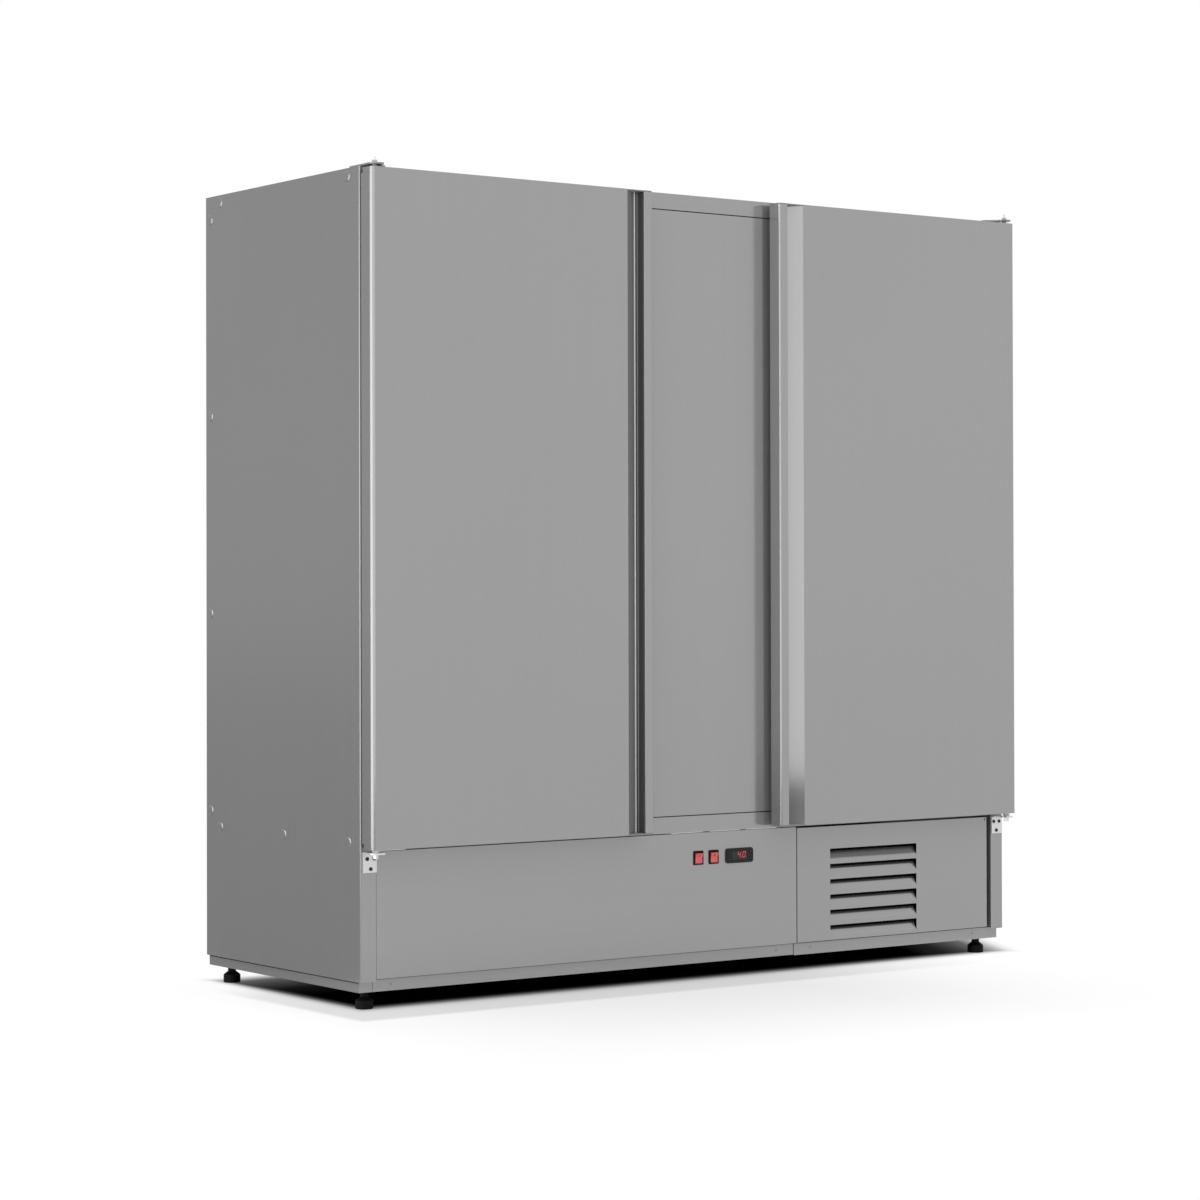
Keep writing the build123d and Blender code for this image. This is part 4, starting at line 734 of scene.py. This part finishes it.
def addKeyMarks(s):
    push = Vector((0, -s["raise"], 0))
    addArrowMark("up", 1, s, push)
    addArrowMark("down", -1, s, push)
    addRingMark(s, push)
    addStarMark(s, push)


addKeyMarks(keyShape)

rockerShape = {
    "pivot": (-333.5, 305.0), "tilt": 9.0, "lean": 10.1,
    "spots": {"power_rocker": -22.7, "light_rocker": 25.2},
    "up": 6.0, "out": -7.87, "radius": 1.9, "raise": 0.15, "sides": 20,
}


def addRockerDots(s):
    y0, z0 = s["pivot"]
    turn = Matrix.Rotation(math.radians(s["tilt"]), 3, "X")
    lean = Matrix.Rotation(math.radians(s["lean"]), 3, "X")
    for body, x in s["spots"].items():
        mesh = bmesh.new()
        ring = []
        for c, v in circle(s["sides"]):
            flat = lean @ Vector((s["radius"] * c, 0, s["radius"] * v))
            ring.append(turn @ (flat + Vector((0, s["out"], s["up"]))) + Vector((x, y0, z0)))
        addPrism(mesh, ring, turn @ lean @ Vector((0, -s["raise"], 0)))
        piece(f"{body.split('_')[0]}RockerDot", mesh, body, dotDark)


addRockerDots(rockerShape)
print("display, keys and rockers marked")


# ---- blind rivets on the back

rivetShape = {
    "radius": 3.6, "rise": 1.5, "sides": 16, "face": 372.0,
    "dome": ((1.0, 0.0), (0.96, 0.45), (0.75, 0.82), (0.42, 1.0), (0.36, 0.8)),  # shares of radius and rise
    "left": -985.0, "right": 985.0, "low": 384.0, "high": 1930.0, "acrossCount": 11, "upCount": 9,
    "grilleZ": (86.0, 352.0), "grilleCount": 9,
}


def addRivet(mesh, x, z, s):
    rings = []
    for share, rise in s["dome"]:
        r, y = s["radius"] * share, s["face"] + s["rise"] * rise
        rings.append([mesh.verts.new((x + r * c, y, z + r * v)) for c, v in circle(s["sides"])])
    for first, second in zip(rings, rings[1:]):
        joinRings(mesh, first, second)
    mesh.faces.new(rings[0])
    mesh.faces.new(rings[-1])


def evenly(first, last, count):
    return [round(first + (last - first) * i / (count - 1), 2) for i in range(count)]


def addRivets(s):
    mesh = bmesh.new()
    spots = {(x, z) for x in evenly(s["left"], s["right"], s["acrossCount"]) for z in (s["low"], s["high"])}
    spots |= {(x, z) for x in (s["left"], s["right"]) for z in evenly(s["low"], s["high"], s["upCount"])}
    spots |= {(x, z) for x in evenly(s["left"], s["right"], s["grilleCount"]) for z in s["grilleZ"]}
    for x, z in sorted(spots):
        addRivet(mesh, x, z, s)
    piece("rearRivets", mesh, "cabinet", screwSteel, smooth=True)


addRivets(rivetShape)
print("rivets made")


# ---- studio: floor, soft cards and surroundings

studio = {
    "floorSize": 60.0, "floorColor": (0.9, 0.9, 0.9), "grainScale": 40.0, "grainDark": 0.99,
    "paintedShadowColor": (0.004, 0.004, 0.004),  # painted shadow: floor colour under the object
    "open": {  # painted shadow: how open the floor is along each side of the object: place in metres, share of the light
        "front": ((0.235, 0.0), (0.26, 0.028), (0.289, 0.25), (0.32, 0.76), (0.35, 1.0)),
        "left": ((0.93, 0.0), (0.942, 0.02), (0.959, 0.12), (0.978, 0.54), (0.998, 0.92), (1.015, 1.0)),
        "rear": ((0.0, 0.0), (0.15, 0.008), (0.25, 0.048), (0.33, 0.1), (0.36, 0.2), (0.4, 0.48), (0.44, 0.92),
                 (0.46, 1.0)),
        "corner": ((0.9, 0.0), (0.96, 0.009), (1.0, 0.013), (1.075, 0.047), (1.12, 0.088), (1.16, 0.27),
                   (1.18, 0.4), (1.206, 0.7), (1.24, 1.0)),
    },
    "cornerLean": 0.5,      # the right edge of the painted shadow draws in towards the front and the rear
    "pool": {  # where the floor stays matt
        "across": ((-1.2, 0.0), (-1.0, 0.33), (-0.7, 0.72), (-0.4, 0.93), (-0.15, 1.0), (0.13, 1.0), (0.35, 0.72),
                   (0.5, 0.42), (0.6, 0.25), (0.85, 0.0)),
        "forward": ((0.35, 1.0), (0.6, 0.94), (0.85, 0.76), (1.35, 0.0)),
        "back": ((0.0, 1.0), (0.35, 0.3), (0.5, 0.0)),
        "share": 0.42,
    },
    "paintedHalo": {  # painted shadow: a faint darker band along the front and the left
        "front": ((0.455, 1.0), (0.485, 0.0)),
        "left": ((1.063, 1.0), (1.09, 0.0)),
        "right": ((0.2, 1.0), (0.55, 0.45), (0.85, 0.0)),
        "rear": ((-0.3, 1.0), (0.05, 0.7), (0.25, 0.0)),
        "share": 0.24,
    },
    "floorGlow": 0.95,      # floor as seen in polished surfaces
    "worldLevel": 0.86,     # light on matt surfaces
    "cards": {
        "leftCard": {"azimuth": (-122.0, -61.0), "distance": 5.0, "z": (0.0, 2.75), "level": 3.1},
        "edgeCard": {"azimuth": (-58.0, -44.0), "distance": 5.0, "z": (0.0, 2.75), "level": 1.75},
        "middleCard": {"azimuth": (-44.0, -5.0), "distance": 5.0, "z": (0.2, 2.75), "level": 1.75},
        "lowCard": {"azimuth": (-44.0, -5.0), "distance": 4.9, "z": (0.0, 0.21), "level": 0.0},
    },
    "cardSteps": 12,
    "dimSide": (-0.585, 0.811, 0.0), "dimEdge": (0.7, 0.94), "dimSky": 0.64, "dimFloor": 0.45,
}


def seenRays(tree, path):
    # 1 for what the camera sees, directly or in something polished
    return fold(tree, "MAXIMUM", path["Is Camera Ray"], path["Is Glossy Ray"], path["Is Transmission Ray"])


def dimFactor(tree, direction, s, level):
    # 1 all round, and less towards the back left
    towards = Vector(s["dimSide"]).normalized()
    flat = addNode(tree, "VectorMath", {0: direction}, operation="NORMALIZE").outputs[0]
    dot = addNode(tree, "VectorMath", {0: flat, 1: towards}, operation="DOT_PRODUCT").outputs["Value"]
    return remap(tree, dot, *s["dimEdge"], 1.0, level)


def stepRamp(tree, value, stops):
    # straight runs between stops of place and level
    low, high = stops[0][0], stops[-1][0]
    share = remap(tree, value, low, high, 0.0, 1.0)
    node = addNode(tree, "ValToRGB", {"Fac": share})
    ramp = node.color_ramp.elements
    while len(ramp) < len(stops):
        ramp.new(0.5)
    for element, (place, level) in zip(ramp, stops):
        element.position = (place - low) / (high - low)
        element.color = (level, level, level, 1)
    return node.outputs[0]


def floorSides(tree, spot, lean):
    # distances along the floor by which the shadow is drawn
    place = addNode(tree, "SeparateXYZ", {0: spot})
    x, y = place.outputs[0], place.outputs[1]
    drawn = calc(tree, "MULTIPLY", calc(tree, "ABSOLUTE", y), lean)
    return {"left": calc(tree, "MULTIPLY", x, -1.0), "right": x, "front": calc(tree, "MULTIPLY", y, -1.0),
            "rear": y, "corner": calc(tree, "ADD", x, drawn)}


def floorPaper(s):
    # seen directly it is plain white with a painted shadow under and around the object, and matt where the object
    # or the pool takes its light
    material = bpy.data.materials.new("floorPaper")
    tree = emptyTree(material)
    spot = addNode(tree, "TexCoord").outputs["Object"]
    sides = floorSides(tree, spot, s["cornerLean"])
    pool, paintedHalo = s["pool"], s["paintedHalo"]
    # painted shadow: dark floor colour and no white where the ramps close
    clear = fold(tree, "MAXIMUM", *[stepRamp(tree, sides[name], stops) for name, stops in s["open"].items()])
    inside = fold(tree, "MULTIPLY", stepRamp(tree, sides["right"], pool["across"]),
                  stepRamp(tree, sides["front"], pool["forward"]), stepRamp(tree, sides["rear"], pool["back"]),
                  pool["share"])
    far = calc(tree, "MULTIPLY", clear, calc(tree, "SUBTRACT", 1.0, inside))
    # painted shadow: a darker band in the white around the object
    edges = [stepRamp(tree, sides[name], paintedHalo[name]) for name in ("front", "left", "right", "rear")]
    band = calc(tree, "MULTIPLY", fold(tree, "MULTIPLY", *edges), paintedHalo["share"])
    paintedTone = calc(tree, "SUBTRACT", 1.0, band)
    path = addNode(tree, "LightPath").outputs
    seen = seenRays(tree, path)
    grain = noise(tree, spot, s["grainScale"])
    color = blendColor(tree, grain, [c * s["grainDark"] for c in s["floorColor"]], s["floorColor"])
    color = blendColor(tree, clear, s["paintedShadowColor"], color)
    matt = addNode(tree, "BsdfDiffuse", {"Color": color}).outputs[0]
    shift = addNode(tree, "VectorMath", {0: spot, 1: (1.0, 0, 0)}, operation="ADD").outputs[0]
    dim = dimFactor(tree, shift, s, s["dimFloor"])
    lost = calc(tree, "SUBTRACT", 1.0, calc(tree, "MULTIPLY", dim, s["floorGlow"]))
    glow = calc(tree, "SUBTRACT", 1.0, calc(tree, "MULTIPLY", path["Is Glossy Ray"], lost))
    glow = calc(tree, "MULTIPLY", glow, paintedTone)
    white = addNode(tree, "Emission", {"Color": (1, 1, 1, 1), "Strength": glow}).outputs[0]
    both = addNode(tree, "MixShader", {0: calc(tree, "MULTIPLY", far, seen), 1: matt, 2: white}).outputs[0]
    addNode(tree, "OutputMaterial", {"Surface": both})
    return material


def addFloor(s):
    half = s["floorSize"] / 2
    data = bpy.data.meshes.new("floor")
    corners = [(-half, -half, 0), (half, -half, 0), (half, half, 0), (-half, half, 0)]
    data.from_pydata(corners, [], [(0, 1, 2, 3)])
    floor = linkObject("floor", data, floorPaper(s))


def addCard(name, c, steps):
    # an upright band of light on part of a circle, seen only in polished surfaces
    (first, last), (low, high) = c["azimuth"], c["z"]
    points = []
    for i in range(steps + 1):
        a = math.radians(first + (last - first) * i / steps)
        x, y = math.sin(a) * c["distance"], -math.cos(a) * c["distance"]
        points += [(x, y, low), (x, y, high)]
    data = bpy.data.meshes.new(name)
    data.from_pydata(points, [], [(2 * i, 2 * i + 1, 2 * i + 3, 2 * i + 2) for i in range(steps)])
    material = bpy.data.materials.new(name)
    tree = emptyTree(material)
    light = addNode(tree, "Emission", {"Strength": c["level"]}).outputs[0]
    addNode(tree, "OutputMaterial", {"Surface": light})
    card = linkObject(name, data, material)
    card.visible_camera = False
    card.visible_shadow = False
    card.visible_transmission = False
    card.visible_diffuse = False


def addWorld(s):
    world = bpy.data.worlds.new("studioWorld")
    bpy.context.scene.world = world
    tree = emptyTree(world)
    path = addNode(tree, "LightPath").outputs
    seen = seenRays(tree, path)
    direction = addNode(tree, "TexCoord").outputs["Generated"]
    dim = dimFactor(tree, direction, s, s["dimSky"])
    glossy = addNode(tree, "Background", {"Color": (1, 1, 1, 1), "Strength": dim}).outputs[0]
    plain = addNode(tree, "Background", {"Color": (1, 1, 1, 1), "Strength": 1.0}).outputs[0]
    matt = addNode(tree, "Background", {"Color": (1, 1, 1, 1), "Strength": s["worldLevel"]}).outputs[0]
    shown = addNode(tree, "MixShader", {0: path["Is Camera Ray"], 1: glossy, 2: plain}).outputs[0]
    both = addNode(tree, "MixShader", {0: seen, 1: matt, 2: shown}).outputs[0]
    addNode(tree, "OutputWorld", {"Surface": both})


addFloor(studio)
for name, card in studio["cards"].items():
    addCard(name, card, studio["cardSteps"])
addWorld(studio)
bpy.context.scene.view_settings.view_transform = "Standard"
print("studio set")


# ---- the end

print("scene built")
